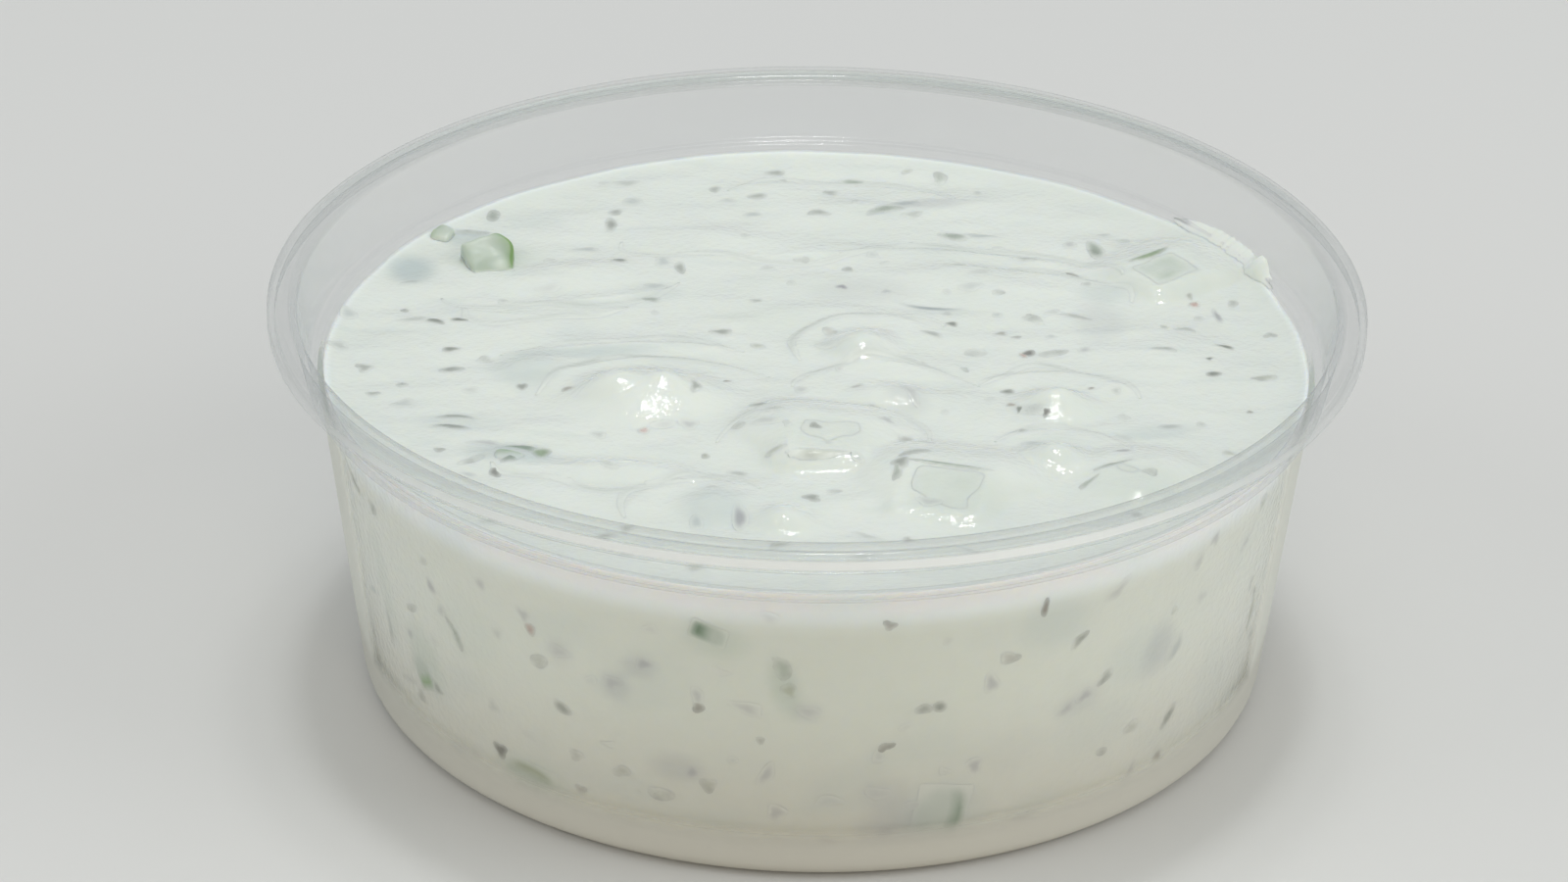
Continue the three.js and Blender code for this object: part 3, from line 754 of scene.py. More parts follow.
def smoothstep(value, low, high):
    """Grows smoothly from 0 to 1 while the value goes from low to high, which may be the lower one."""
    share = np.clip((value - low) / (high - low), 0, 1)
    return share * share * (3 - 2 * share)


def oval_place(x, y, middle_x, middle_y, long, wide, turn):
    """Places measured along and across a turned oval, in its own half sizes."""
    cos, sin = math.cos(math.radians(turn)), math.sin(math.radians(turn))
    along = ((x - middle_x) * cos + (y - middle_y) * sin) / long
    across = ((y - middle_y) * cos - (x - middle_x) * sin) / wide
    return along, across


def noise_field(x, y, z, size_x, size_y, size_z, shift=0.0):
    """Smooth noise from -1 to 1 at each place, stretched by its size along each axis."""
    places = zip(x / size_x + shift, y / size_y - shift, z / size_z + shift)
    return np.array([noise.noise(Vector(place)) for place in places])


def flat_noise(x, y, size_x, size_y, shift):
    """The same over the dip's top."""
    return noise_field(x, y, 0 * x, size_x, size_y, 1, shift)


def fold_parts(x, y):
    """How high the folds raise each place, and how strongly shade is painted in its creases."""
    height = np.zeros_like(x)
    shade = np.zeros_like(x)
    for middle_x, middle_y, long, wide, turn, start, end, step in FOLDS:
        along, across = oval_place(x, y, middle_x, middle_y, long, wide, turn)
        distance = (np.hypot(along, across) - 1) * (long + wide) / 2
        angle = np.degrees(np.arctan2(across, along)) % 360
        window = smoothstep(angle, start, start + FOLD_FADE) * smoothstep(angle, end, end - FOLD_FADE)
        behind = np.exp(np.minimum(distance, 0) / FOLD_REACH)
        beyond = smoothstep(distance, FOLD_CREST, 0)
        height += step * window * np.where(distance < 0, behind, beyond)
        shade += step * window * np.exp(-(((distance - FOLD_CREST) / FOLD_CREST) ** 2))
    return height, shade


def rotation(turn, tip, roll):
    """A turn in degrees about Z first, then Y, then X, as the CAD turns its pieces."""
    return np.array(
        Matrix.Rotation(math.radians(tip), 3, "X")
        @ Matrix.Rotation(math.radians(roll), 3, "Y")
        @ Matrix.Rotation(math.radians(turn), 3, "Z")
    )


def box_middle(node):
    low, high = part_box(node)
    return (np.array(low) + np.array(high)) / 2 / MM


def draped(x, y, height, node):
    """The dip's height where a piece under it holds it up, steeper in front than behind."""
    size, turn, tip, roll, bare = TOP_CUCUMBERS[node][:5]
    turns, middle = rotation(turn, tip, roll), box_middle(node)
    upward = turns[:, 2]
    top = middle + upward * size[2] / 2
    level = top[2] - (upward[0] * (x - top[0]) + upward[1] * (y - top[1])) / upward[2]
    local = np.stack([x - middle[0], y - middle[1], level - middle[2]], -1) @ turns
    beyond = [np.abs(local[:, axis]) - size[axis] / 2 + DRAPE_ROUND for axis in (0, 1)]
    outside = np.hypot(np.maximum(beyond[0], 0), np.maximum(beyond[1], 0)) - DRAPE_ROUND
    outside += np.minimum(np.maximum(beyond[0], beyond[1]), 0)
    behind = smoothstep(y - middle[1], -DRAPE_TURN, DRAPE_TURN)
    reach = DRAPE_FRONT + (DRAPE_BACK - DRAPE_FRONT) * behind
    fall = (np.maximum(outside + DRAPE_ROUND / 2, 0) / reach) ** DRAPE_POWER
    film = level - bare * smoothstep(-outside, *BARE_FROM) + DRAPE_FILM - fall
    apart = film - height
    return height + np.where(apart > 0, apart, 0) + DRAPE_BLEND * np.exp(-np.abs(apart) / DRAPE_BLEND) / 2


def dip_height(x, y):
    """The height of the dip's uneven top."""
    radius = np.hypot(x, y)
    edge = inside_radius(DIP_EDGE_HEIGHT)
    calm = smoothstep(edge - radius, 0, EDGE_CALM)
    relief = np.zeros_like(x)
    for middle_x, middle_y, long, wide, rise, turn in LUMPS + SMALL_LUMPS:
        along, across = oval_place(x, y, middle_x, middle_y, long, wide, turn)
        relief += rise * np.maximum(0, 1 - along**2 - across**2) ** 2
    relief += fold_parts(x, y)[0]
    for index, (size_x, size_y, height) in enumerate(WAVES):
        relief += height * flat_noise(x, y, size_x, size_y, index * WAVE_SHIFT)
    uneven_edge = 1 + WALL_CREEP_UNEVEN * flat_noise(x, y, *CREEP_NOISE)
    smeared = np.degrees(np.arctan2(y, x)) - SMEAR_MIDDLE
    uneven_edge += SMEAR_CREEP * np.exp(-((smeared / SMEAR_HALF) ** 4))
    creep = WALL_CREEP * uneven_edge * np.exp(-np.maximum(edge - radius, 0) / WALL_CREEP_REACH)
    dome = DIP_DOME * (1 - (radius / edge) ** 2)
    height = DIP_EDGE_HEIGHT - DIP_FRONT_RISE * y + dome + calm * relief + creep
    for node in COVERED_CUCUMBERS:
        height = draped(x, y, height, node)
    return height


def blend(colour, other, share):
    share = np.asarray(share)[..., None]
    return colour * (1 - share) + np.asarray(other) * share


def cloud_share(along, across, strength):
    """A soft-edged tinted place."""
    return strength * smoothstep(np.hypot(along, across), *CLOUD_EDGE)


def top_tint(x, y):
    """The colour of the dip's top at each place."""
    tint = np.tile(np.array(YOGURT), (len(x), 1))
    green = np.clip(GREEN_AVERAGE + flat_noise(x, y, *GREEN_NOISE), 0, 1)
    tint = blend(tint, GREEN_GREY, GREEN_PATCHES * green)
    streaks = smoothstep(flat_noise(x, y, *STREAK_NOISE), *STREAKS_FROM)
    tint = blend(tint, BLUE_GREY, BLUE_STREAKS * streaks)
    for middle_x, middle_y, long, wide, turn, colour, strength in TOP_CLOUDS:
        along, across = oval_place(x, y, middle_x, middle_y, long, wide, turn)
        tint = blend(tint, colour, cloud_share(along, across, strength))
    # painted shade in the creases under the folds
    return blend(tint, SHADE_AND_CLOUD_GREY, np.clip(FOLD_SHADE * fold_parts(x, y)[1], 0, 1))


def wall_angle(x, y):
    """Degrees round from the front, towards +X."""
    return np.degrees(np.arctan2(x, -y))


def side_tint(x, y, z):
    """The colour of the dip behind the wall and over the base."""
    tint = np.tile(np.array(YOGURT_SIDE_SHADED), (len(x), 1))
    # painted shade: darker towards the bottom
    tint = blend(tint, YOGURT_LOW_SHADE, smoothstep(z, *LOW_SHADE_HEIGHTS))
    # painted light: lighter near the floor, where less light gets
    tint *= 1 + PAINTED_LIGHT_NEAR_FLOOR_BY * smoothstep(z, *PAINTED_LIGHT_NEAR_FLOOR)[:, None]
    # painted light under the top edge, where light comes in from above
    tint = blend(tint, YOGURT_RIM_LIT, smoothstep(z, *RIM_LIGHT_HEIGHTS))
    patches = smoothstep(noise_field(x, y, z, *SIDE_NOISE), *PATCHES_FROM)
    tint = blend(tint, BLUE_GREY, BLUE_PATCHES * patches)
    around = wall_angle(x, y)
    for middle, height, long, tall, turn, colour, strength in SIDE_CLOUDS:
        apart = (around - middle + 180) % 360 - 180
        along, across = oval_place(np.radians(apart) * inside_radius(height), z, 0, height, long, tall, turn)
        tint = blend(tint, colour, cloud_share(along, across, strength))
    return tint


def dip_tint(x, y, z):
    """The dip's colour all over: its top, then what is behind the wall."""
    radius = np.hypot(x, y)
    behind = smoothstep(radius - inside_radius(z), *SIDE_TINT_DEPTH)
    behind = np.maximum(behind, smoothstep(z, *SIDE_TINT_BELOW))
    return blend(top_tint(x, y), (0, 0, 0), behind) + blend(side_tint(x, y, z), (0, 0, 0), 1 - behind)


def disk_grid(cells):
    """A square grid bent into a disk of radius 1, evenly spaced round its edge."""
    line = np.linspace(-1, 1, cells + 1)
    a, b = np.meshgrid(line, line, indexing="ij")
    wide = np.abs(a) > np.abs(b)
    radius = np.where(wide, a, b)
    by_a = np.pi / 4 * b / np.where(a == 0, 1, a)
    by_b = np.pi / 2 - np.pi / 4 * a / np.where(b == 0, 1, b)
    angle = np.where(wide, by_a, by_b)
    return radius * np.cos(angle), radius * np.sin(angle)


def make_dip():
    """One closed solid: a fine top, a side just into the wall, and a base just into the floor."""
    reach = inside_radius(DIP_EDGE_HEIGHT, -INTO_WALL)
    unit_x, unit_y = disk_grid(TOP_CELLS)
    x, y = (unit_x * reach).ravel(), (unit_y * reach).ravel()
    z = dip_height(x, y)
    number = np.arange(len(x)).reshape(unit_x.shape)
    faces = np.stack([number[:-1, :-1], number[1:, :-1], number[1:, 1:], number[:-1, 1:]], -1)
    faces = [tuple(face) for face in faces.reshape(-1, 4).tolist()]
    edge = np.concatenate([number[-1, :-1], number[:0:-1, -1], number[0, :0:-1], number[:-1, 0]])

    corner = inside_corner(-INTO_WALL)[::-1]
    turn_x, turn_y = x[edge] / reach, y[edge] / reach
    points = [np.stack([x, y, z], -1)]
    above = edge.tolist()
    count = len(x)
    low_height = corner[0][1]
    rings = []
    for row in range(1, SIDE_ROWS + 1):
        height = z[edge] + (low_height - z[edge]) * row / SIDE_ROWS
        rings.append((inside_radius(height, -INTO_WALL), height))
    base_radius, base_height = corner[-1]
    base = [(base_radius * (1 - ring / BASE_RINGS), base_height) for ring in range(1, BASE_RINGS)]
    for radius, height in corner[1:] + base:
        rings.append((np.full(len(edge), radius), np.full(len(edge), height)))
    for radius, height in rings:
        points.append(np.stack([turn_x * radius, turn_y * radius, height], -1))
        below = list(range(count, count + len(edge)))
        count += len(edge)
        for step in range(len(edge)):
            after = (step + 1) % len(edge)
            faces.append((below[step], below[after], above[after], above[step]))
        above = below
    points.append(np.array([[0, 0, base_height]]))
    faces += [(count, above[(step + 1) % len(edge)], above[step]) for step in range(len(edge))]
    points = np.concatenate(points)
    return make_object("tzatziki", points, faces, dip_tint(*points.T))


# ================================================================ cucumber
def cut_block(size, cells):
    """Points and faces of an uneven cut block round its own middle. The peel faces +Y."""
    width, depth, thick = size
    half = np.array([width / 2, depth / 2, thick / 2])
    steps = np.sin(np.linspace(-1, 1, cells + 1) * np.pi / 2)
    points, faces, seen = [], [], {}

    def corner(place):
        key = tuple(np.round(place, 6))
        if key not in seen:
            seen[key] = len(points)
            points.append(place)
        return seen[key]

    for axis in range(3):
        for side in (-1, 1):
            first, second = (axis + 1) % 3, (axis + 2) % 3
            grid = np.empty((cells + 1, cells + 1), int)
            for i, a in enumerate(steps):
                for j, b in enumerate(steps):
                    place = np.empty(3)
                    place[axis], place[first], place[second] = side, a, b
                    grid[i, j] = corner(place)
            for i in range(cells):
                for j in range(cells):
                    face = [grid[i, j], grid[i + 1, j], grid[i + 1, j + 1], grid[i, j + 1]]
                    faces.append(tuple(int(v) for v in (face if side > 0 else face[::-1])))
    unit = np.array(points)
    rounding = min(CUT_ROUND, half.min() * CUT_ROUND_MOST)
    full = unit * half
    core = np.clip(full, rounding - half, half - rounding)
    away = full - core
    length = np.maximum(np.linalg.norm(away, axis=1, keepdims=True), 1e-6)
    shaped = core + away * np.minimum(1, rounding / length)
    across = shaped[:, 0] / half[0]
    up = (shaped[:, 1] / half[1] + 1) / 2
    shaped[:, 0] *= CUT_TAPER + (1 - CUT_TAPER) * up
    shaped[:, 1] -= width * PEEL_BOW * across**2 * up
    return shaped, faces


def roughened(points, amount, size, shift):
    """The points moved a little by smooth noise."""
    x, y, z = points.T
    moves = [noise_field(x, y, z, size, size, size, shift + 11 * axis) for axis in range(3)]
    return points + amount * np.stack(moves, -1)


def peel_distance(local, size):
    """How far each place of a block is from its peel."""
    width, depth = size[:2]
    return depth / 2 - width * PEEL_BOW * (local[:, 0] * 2 / width) ** 2 - local[:, 1]


def flesh_tint(local, size, peel, skin=SKIN, rind=RIND):
    """Cucumber colours: dark peel, then a greener rind, then pale flesh."""
    distance = peel_distance(local, size)
    tint = np.tile(np.array(FLESH), (len(local), 1))
    rind_colour = (np.array(FLESH) + np.array(COLOURS["leaf"])) / 2
    tint = blend(tint, rind_colour, RIND_SHARE * smoothstep(distance, rind, RIND_FROM))
    tint = blend(tint, COLOURS[peel], SKIN_SHARE * smoothstep(distance, skin, SKIN_FROM))
    mottle = smoothstep(noise_field(*local.T, *FLESH_NOISE), *MOTTLE_FROM)
    return blend(tint, COLOURS["leaf"], MOTTLE_SHARE * mottle)


def covered_tint(points, tint, cover):
    """Yogurt over a piece: none far above the dip, all of it where the piece goes under."""
    x, y, z = points.T
    patchy = np.clip(cover + FILM_PATCHES * flat_noise(x, y, *FILM_NOISE), 0, 1)
    film = 1 - (1 - patchy) * smoothstep(z - dip_height(x, y), 0.0, FILM_EDGE)
    return blend(tint, top_tint(x, y), film)


def make_top_cucumber(node):
    size, turn, tip, roll, _, cover, rough, peel = TOP_CUCUMBERS[node]
    local, faces = cut_block(size, BLOCK_CELLS)
    uneven = roughened(local, rough, DIE_ROUGHNESS_SIZE, turn)
    points = uneven @ rotation(turn, tip, roll).T + box_middle(node)
    tint = covered_tint(points, flesh_tint(local, size, peel), cover)
    return make_object(node + "_die", points, faces, tint)


def make_wall_cucumber(node):
    """The outer cut end follows the round wall and fades into the yogurt round it."""
    size, turn, flesh, peel_share, peel, blur = WALL_CUCUMBERS[node]
    middle = box_middle(node)
    local, faces = cut_block(size, BLOCK_CELLS)
    uneven = roughened(local, *WALL_ROUGHNESS, turn)
    cos, sin = math.cos(math.radians(turn)), math.sin(math.radians(turn))
    along = uneven[:, 0] * cos - uneven[:, 1] * sin
    up = uneven[:, 0] * sin + uneven[:, 1] * cos
    deep = size[2] / 2 - local[:, 2]
    height = middle[2] + up
    border = np.minimum(size[0] / 2 - np.abs(local[:, 0]), size[1] / 2 - np.abs(local[:, 1]))
    lens = WALL_RISE * (1 - WALL_LENS * smoothstep(border, WALL_BORDER, 0))
    radius = inside_radius(height, -INTO_WALL) + lens - np.maximum(deep - CUT_ROUND, 0)
    turns = math.atan2(middle[0], -middle[1]) + along / inside_radius(middle[2])
    points = np.stack([radius * np.sin(turns), -radius * np.cos(turns), height], -1)

    ragged = WALL_OUTLINE_UNEVEN * flat_noise(along, up, WALL_OUTLINE_SIZE, WALL_OUTLINE_SIZE, turn)
    share_long, share_tall = np.abs(local[:, 0] * 2 / size[0]), np.abs(local[:, 1] * 2 / size[1])
    oval = np.hypot(share_long, share_tall) + ragged
    seen = flesh * smoothstep(oval, *WALL_FLESH_FADE) * smoothstep(border, *WALL_FLESH_BORDER)
    tint = blend(side_tint(*points.T), np.array(FLESH) * WALL_FLESH_DIM, seen)
    streak = smoothstep(np.abs(peel_distance(local, size) - PEEL_BLUR_AT + ragged), blur, 0.0)
    streak = streak * smoothstep(share_long + ragged, *WALL_PEEL_FADE)
    streak = peel_share * streak * smoothstep(border, *WALL_PEEL_BORDER)
    return make_object(node + "_die", points, faces, blend(tint, COLOURS[peel], streak))


def join_parts(name, parts):
    """One object from several (points, faces, tint)."""
    points, faces, tints, count = [], [], [], 0
    for part_points, part_faces, part_tint in parts:
        faces += [tuple(number + count for number in face) for face in part_faces]
        points.append(part_points)
        tints.append(part_tint)
        count += len(part_points)
    return make_object(name, np.concatenate(points), faces, np.concatenate(tints))


def make_cucumber_bits():
    parts = []
    for x, y, z, size, turn, tip, cover in CUCUMBER_BITS:
        local, faces = cut_block(size, BLOCK_CELLS // 2)
        uneven = roughened(local, *BIT_ROUGHNESS, x)
        points = uneven @ rotation(turn, tip, 0).T + np.array([x, y, z])
        tint = flesh_tint(local, size, "leaf", BIT_SKIN, BIT_RIND)
        parts.append((points, faces, covered_tint(points, tint, cover)))
    return join_parts("cucumber_bits", parts)


# ================================================================ flecks
def fleck_shape(length, width, turn, bend):
    """A flat irregular fleck: places along and across it, its ring and its faces."""
    wobble = [rng.uniform(-FLECK_UNEVEN, FLECK_UNEVEN) for _ in range(4)]
    cos, sin = math.cos(math.radians(turn)), math.sin(math.radians(turn))
    flat, ring_of = [], []
    for ring in FLECK_RINGS:
        for side in range(1 if ring == 0 else FLECK_SIDES):
            angle = 2 * math.pi * side / FLECK_SIDES
            uneven = 1 + wobble[0] * math.cos(2 * angle + 6 * wobble[1])
            uneven += wobble[2] * math.cos(3 * angle + 6 * wobble[3])
            along = ring * uneven * math.cos(angle) * length / 2
            across = ring * uneven * math.sin(angle) * width / 2
            across += bend * length * (1 - (2 * along / length) ** 2) - bend * length / 2
            flat.append((along * cos - across * sin, along * sin + across * cos))
            ring_of.append(ring)
    top = len(flat)
    faces = [(0, 1 + side, 1 + (side + 1) % FLECK_SIDES) for side in range(FLECK_SIDES)]
    for ring in range(len(FLECK_RINGS) - 2):
        for side in range(FLECK_SIDES):
            after = (side + 1) % FLECK_SIDES
            low = 1 + ring * FLECK_SIDES
            faces.append((low + side, low + FLECK_SIDES + side, low + FLECK_SIDES + after, low + after))
    last = 1 + (len(FLECK_RINGS) - 2) * FLECK_SIDES
    faces += [(last + (side + 1) % FLECK_SIDES, last + side, top) for side in range(FLECK_SIDES)]
    return np.array(flat + [flat[0]]), np.array(ring_of), faces


def fleck_lift(ring_of, rise):
    """How high each point stands off the dip's surface: a low dome, then the point underneath."""
    dome = rise * (1 - FLECK_SINK * ring_of**4)
    return np.append(dome, -FLECK_DEPTH)


def fleck_fade(ring_of, strength):
    """A strong fleck has a clear edge, and a faint one, deeper in the yogurt, a soft one."""
    fade = strength * smoothstep(ring_of, FLECK_FADED, FLECK_CLEAR * strength)
    return np.append(fade, 0)


def top_fleck(x, y, length, width, turn, colour, strength, bend=0):
    flat, ring_of, faces = fleck_shape(length * TOP_FLECK_LONGER, width * TOP_FLECK_WIDER, turn, bend)
    place_x, place_y = flat[:, 0] + x, flat[:, 1] + y
    place_z = dip_height(place_x, place_y) + fleck_lift(ring_of, TOP_FLECK_RISE)
    seen = fleck_fade(ring_of, strength * TOP_FLECK_STRENGTH)
    tint = blend(top_tint(place_x, place_y), COLOURS[colour], seen)
    return np.stack([place_x, place_y, place_z], -1), faces, tint


def side_fleck(around, height, length, width, turn, colour, strength, bend=0):
    flat, ring_of, faces = fleck_shape(length * SIDE_FLECK_WIDER, width * SIDE_FLECK_WIDER, turn, bend)
    z = height + flat[:, 1]
    radius = filled_radius(z) + fleck_lift(ring_of, WALL_RISE)
    turns = math.radians(around) + flat[:, 0] / inside_radius(height)
    x, y = radius * np.sin(turns), -radius * np.cos(turns)
    tint = blend(side_tint(x, y, z), COLOURS[colour], fleck_fade(ring_of, strength * SIDE_FLECK_STRENGTH))
    return np.stack([x, y, z], -1), faces, tint


def base_fleck(x, y, length, width, turn, colour, strength, bend):
    flat, ring_of, faces = fleck_shape(length, width, turn, bend)
    place_x, place_y = flat[:, 0] + x, flat[:, 1] + y
    place_z = FLOOR_HEIGHT - INTO_WALL - fleck_lift(ring_of, WALL_RISE)
    tint = blend(side_tint(place_x, place_y, place_z), COLOURS[colour], fleck_fade(ring_of, strength))
    return np.stack([place_x, place_y, place_z], -1), [face[::-1] for face in faces], tint


def crease_line(middle_x, middle_y, long, wide, turn, start, end, step):
    """A thin line of painted shade under the edge of a fold, which thins out to both ends."""
    cos, sin = math.cos(math.radians(turn)), math.sin(math.radians(turn))
    flat, across, shares = [], [], []
    for number in range(CREASE_LINE_STEPS + 1):
        share = number / CREASE_LINE_STEPS
        angle = math.radians(start + (end - start) * share)
        place = Vector((middle_x + CREASE_WAVES * share, middle_y, CREASE_WAVER_LAYER))
        waver = CREASE_WAVER * noise.noise(place)
        width = CREASE_LINE_WIDTH * (CREASE_LINE_ENDS + math.sin(math.pi * share))
        for aside in CREASE_LINE_ACROSS + CREASE_LINE_ACROSS[::-1]:
            out = FOLD_CREST * CREASE_LINE_OUT + waver + aside * width
            x, y = (long + out) * math.cos(angle), (wide + out) * math.sin(angle)
            flat.append((middle_x + x * cos - y * sin, middle_y + x * sin + y * cos))
            across.append(abs(aside))
            shares.append(share)
    x, y = np.array(flat).T
    across, shares = np.array(across), np.array(shares)
    around = 2 * len(CREASE_LINE_ACROSS)
    upper = np.arange(len(x)) % around < around / 2
    lift = np.where(upper, CREASE_LINE_RISE * (1 - 2 * across**4), -FLECK_DEPTH)
    mean, spread = CREASE_LINE_PATCHES
    seen = np.clip(mean + spread * flat_noise(x, y, *CREASE_NOISE), 0, 1)
    seen = seen * np.clip(CREASE_STRENGTH * step, 0, CREASE_LINE_MOST)
    seen = seen * smoothstep(across, CREASE_LINE_FADED, 0) * np.sin(np.pi * shares) ** CREASE_END_POWER
    tint = blend(top_tint(x, y), CREASE_SHADE_LINE, np.where(upper, seen, 0))
    points = np.stack([x, y, dip_height(x, y) + lift], -1)
    return points, tube_faces(CREASE_LINE_STEPS + 1, around), tint


def random_fleck(place_a, place_b, strength_low, strength_high):
    length = rng.choice(SCATTER_LENGTHS) * rng.uniform(*SCATTER_LENGTH_SPREAD)
    width = min(length, rng.uniform(*SCATTER_WIDTHS))
    turn = rng.uniform(-SCATTER_TURN, SCATTER_TURN)
    colour = rng.choice(SCATTER_COLOURS)
    strength = rng.uniform(strength_low, strength_high)
    bend = rng.uniform(-SCATTER_BEND, SCATTER_BEND) if length > SCATTER_LONG else 0
    return place_a, place_b, length, width, turn, colour, strength, bend


def in_disk(reach):
    radius = reach * math.sqrt(rng.random())
    angle = rng.uniform(0, 2 * math.pi)
    return radius * math.cos(angle), radius * math.sin(angle)


def round_wall(start, end):
    return rng.uniform(start, end), rng.uniform(*SCATTER_HEIGHTS)


def scattered(scatter, place, extent, taken, unit=1.0):
    """Random flecks that keep clear of those already placed. The unit turns degrees into millimetres."""
    number, strength_low, strength_high = scatter
    flecks = []
    while len(flecks) < number:
        a, b = place(*extent)
        if all(math.hypot((a - other[0]) * unit, b - other[1]) > SCATTER_APART for other in taken):
            flecks.append(random_fleck(a, b, strength_low, strength_high))
            taken.append(flecks[-1])
    return flecks


def make_flecks():
    """All the flecks, as (object, material name) for each kind."""
    degree = math.radians(1) * BODY_TOP_RADIUS
    top_taken, side_taken = list(TOP_FLECKS), list(SIDE_FLECKS)
    front, back = (-FRONT_REACH, FRONT_REACH), (FRONT_REACH, 360 - FRONT_REACH)
    top = TOP_FLECKS + scattered(TOP_SCATTER, in_disk, [TOP_SCATTER_RADIUS], top_taken)
    side = SIDE_FLECKS + scattered(FRONT_SCATTER, round_wall, front, side_taken, degree)
    side += scattered(BACK_SCATTER, round_wall, back, side_taken, degree)
    base = scattered(BASE_SCATTER, in_disk, [BASE_SCATTER_RADIUS], [])
    made = []
    for name, (material, colours) in FLECK_PIECES.items():
        parts = []
        for make, flecks in ((top_fleck, top), (side_fleck, side), (base_fleck, base)):
            parts += [make(*fleck) for fleck in flecks if fleck[5] in colours]
        made.append((join_parts(name, parts), material))
    return made


# ================================================================ the smear of yogurt on the shelf
def cup_inner_radius(height):
    """The inner side of the cup at a height, with the shelf as a smooth step."""
    shelf_top = SHELF_HEIGHT + WALL
    below = inside_radius(height)
    above = collar_radius(height) - WALL * COLLAR_STRETCH
    return below + (above - below) * smoothstep(height - shelf_top, *SHELF_EDGE)


def make_smear():
    """A thin uneven roll of yogurt on the shelf, with one nub that stands up against the collar."""
    points = []
    for step in range(SMEAR_STEPS + 1):
        share = step / SMEAR_STEPS
        degrees = SMEAR_MIDDLE - SMEAR_HALF + 2 * SMEAR_HALF * share
        turn = math.radians(degrees)
        ends = math.sin(math.pi * share) ** SMEAR_END_POWER
        wave = SMEAR_WAVE * noise.noise(Vector((degrees * SMEAR_WAVES, SMEAR_WAVE_LAYER, 0)))
        fine = SMEAR_FINE * noise.noise(Vector((degrees * SMEAR_FINE_WAVES, SMEAR_FINE_LAYER, 0)))
        nub = math.exp(-(((degrees - NUB_AT) / NUB_WIDTH) ** 2))
        half_height = ends * (SMEAR_HALF_HEIGHT + wave + fine) + NUB_HEIGHT * nub
        half_width = ends * (SMEAR_HALF_WIDTH + wave) + NUB_OUT * nub
        for side in range(SMEAR_SIDES):
            angle = -2 * math.pi * side / SMEAR_SIDES
            cos, sin = math.cos(angle), math.sin(angle)
            ragged = 1 + SMEAR_RAGGED * noise.noise(Vector((degrees * SMEAR_RAGS, 2 * cos, 2 * sin)))
            out = max(SMEAR_THINNEST, half_width) * ragged * cos
            up = max(SMEAR_THINNEST, half_height) * ragged * sin
            z = SMEAR_HEIGHT + NUB_RISE * nub + SMEAR_LEAN * out + up
            radius = min(SMEAR_RADIUS + out, float(cup_inner_radius(z)) + INTO_WALL)
            points.append((radius * math.cos(turn), radius * math.sin(turn), z))
    tint = np.tile(np.array(YOGURT) * SMEAR_LIGHTER, (len(points), 1))
    return make_object("yogurt_smear", points, tube_faces(SMEAR_STEPS + 1, SMEAR_SIDES), tint)


# ================================================================ materials
PLASTIC_MILK = (0.64, 0.68, 0.69, 1)
# painted highlight: the white band round the skirt of the lip
LIP_PAINTED_HIGHLIGHT = (0.92, 0.99, 1.0, 1)
# painted yogurt, as the wall bends it into view: on the wall seen edge on, and at the foot, darker, where
# the yogurt is in shade
SIDE_PAINTED_YOGURT = (0.69, 0.715, 0.65, 1)
FOOT_PAINTED_SHADED_YOGURT = (0.585, 0.59, 0.53, 1)
THIN_MILK_PAINTED_LIGHT = (1.0, 1.0, 0.92, 1)  # painted light: where it thins out it is white, since it also dims what lies behind it
THIN_MILK_FROM = 0.02
PLASTIC_CLEAR = (0.987, 0.99, 0.99, 1)
PLASTIC_MILKINESS = 0.015  # seen face on
PLASTIC_EDGE_MILKINESS = 0.5  # how much more there is edge on
PLASTIC_EDGE_POWER = 3.0
PLASTIC_SHINE = 0.04
PLASTIC_EDGE_SHINE = 0.12
PLASTIC_GLOSS_ROUGHNESS = 0.12
PAINTED_YOGURT_COVER = 0.97
FOOT_PAINT_TOP = 6.6
FOOT_PAINT_FULL = 3.9
FOOT_PAINT_HIGHER = 3.3  # it reaches this much higher where the wall is seen edge on
CORNER_TOP = 4.2  # the shading of the round corner at the foot changes between these heights
CORNER_LOW = 3.2
FILLED_EDGE = (0.80, 0.85)  # from here on, the wall of the filled part is seen edge on
LIP_HIGHLIGHT_COVER = 0.95
LIP_BAND_MIDDLE = 42.15  # the band of painted highlight round the skirt of the lip
LIP_BAND_HALF = 0.4
LIP_BAND_EDGE = 0.35
# painted dark refraction: the top of the lip and its bead are grey
LIP_PAINTED_DARK_GREY = (0.46, 0.49, 0.50, 1)
BEAD_PAINTED_DARKNESS = 0.16
LIP_BAND_FADES = (0.2, 0.8)  # the painted highlight band fades as it is seen more edge on
LIP_LIT_FROM_ABOVE = 0.35  # light gathers in the rolled edge of the lip
LIP_BAND_DEPTH = (0.4, 0.2)  # how far in from the rim the band begins and is full
LIP_TOP = (1.2, 0.8)  # the same for the bead, down from the rim
BEAD_WIDTH = 0.4
PLASTIC_ROUGHNESS = 0.5
PLASTIC_CLOUDS = (120, 3)  # scale and detail of its uneven gloss
PLASTIC_CLOUD_DEPTH = 0.02

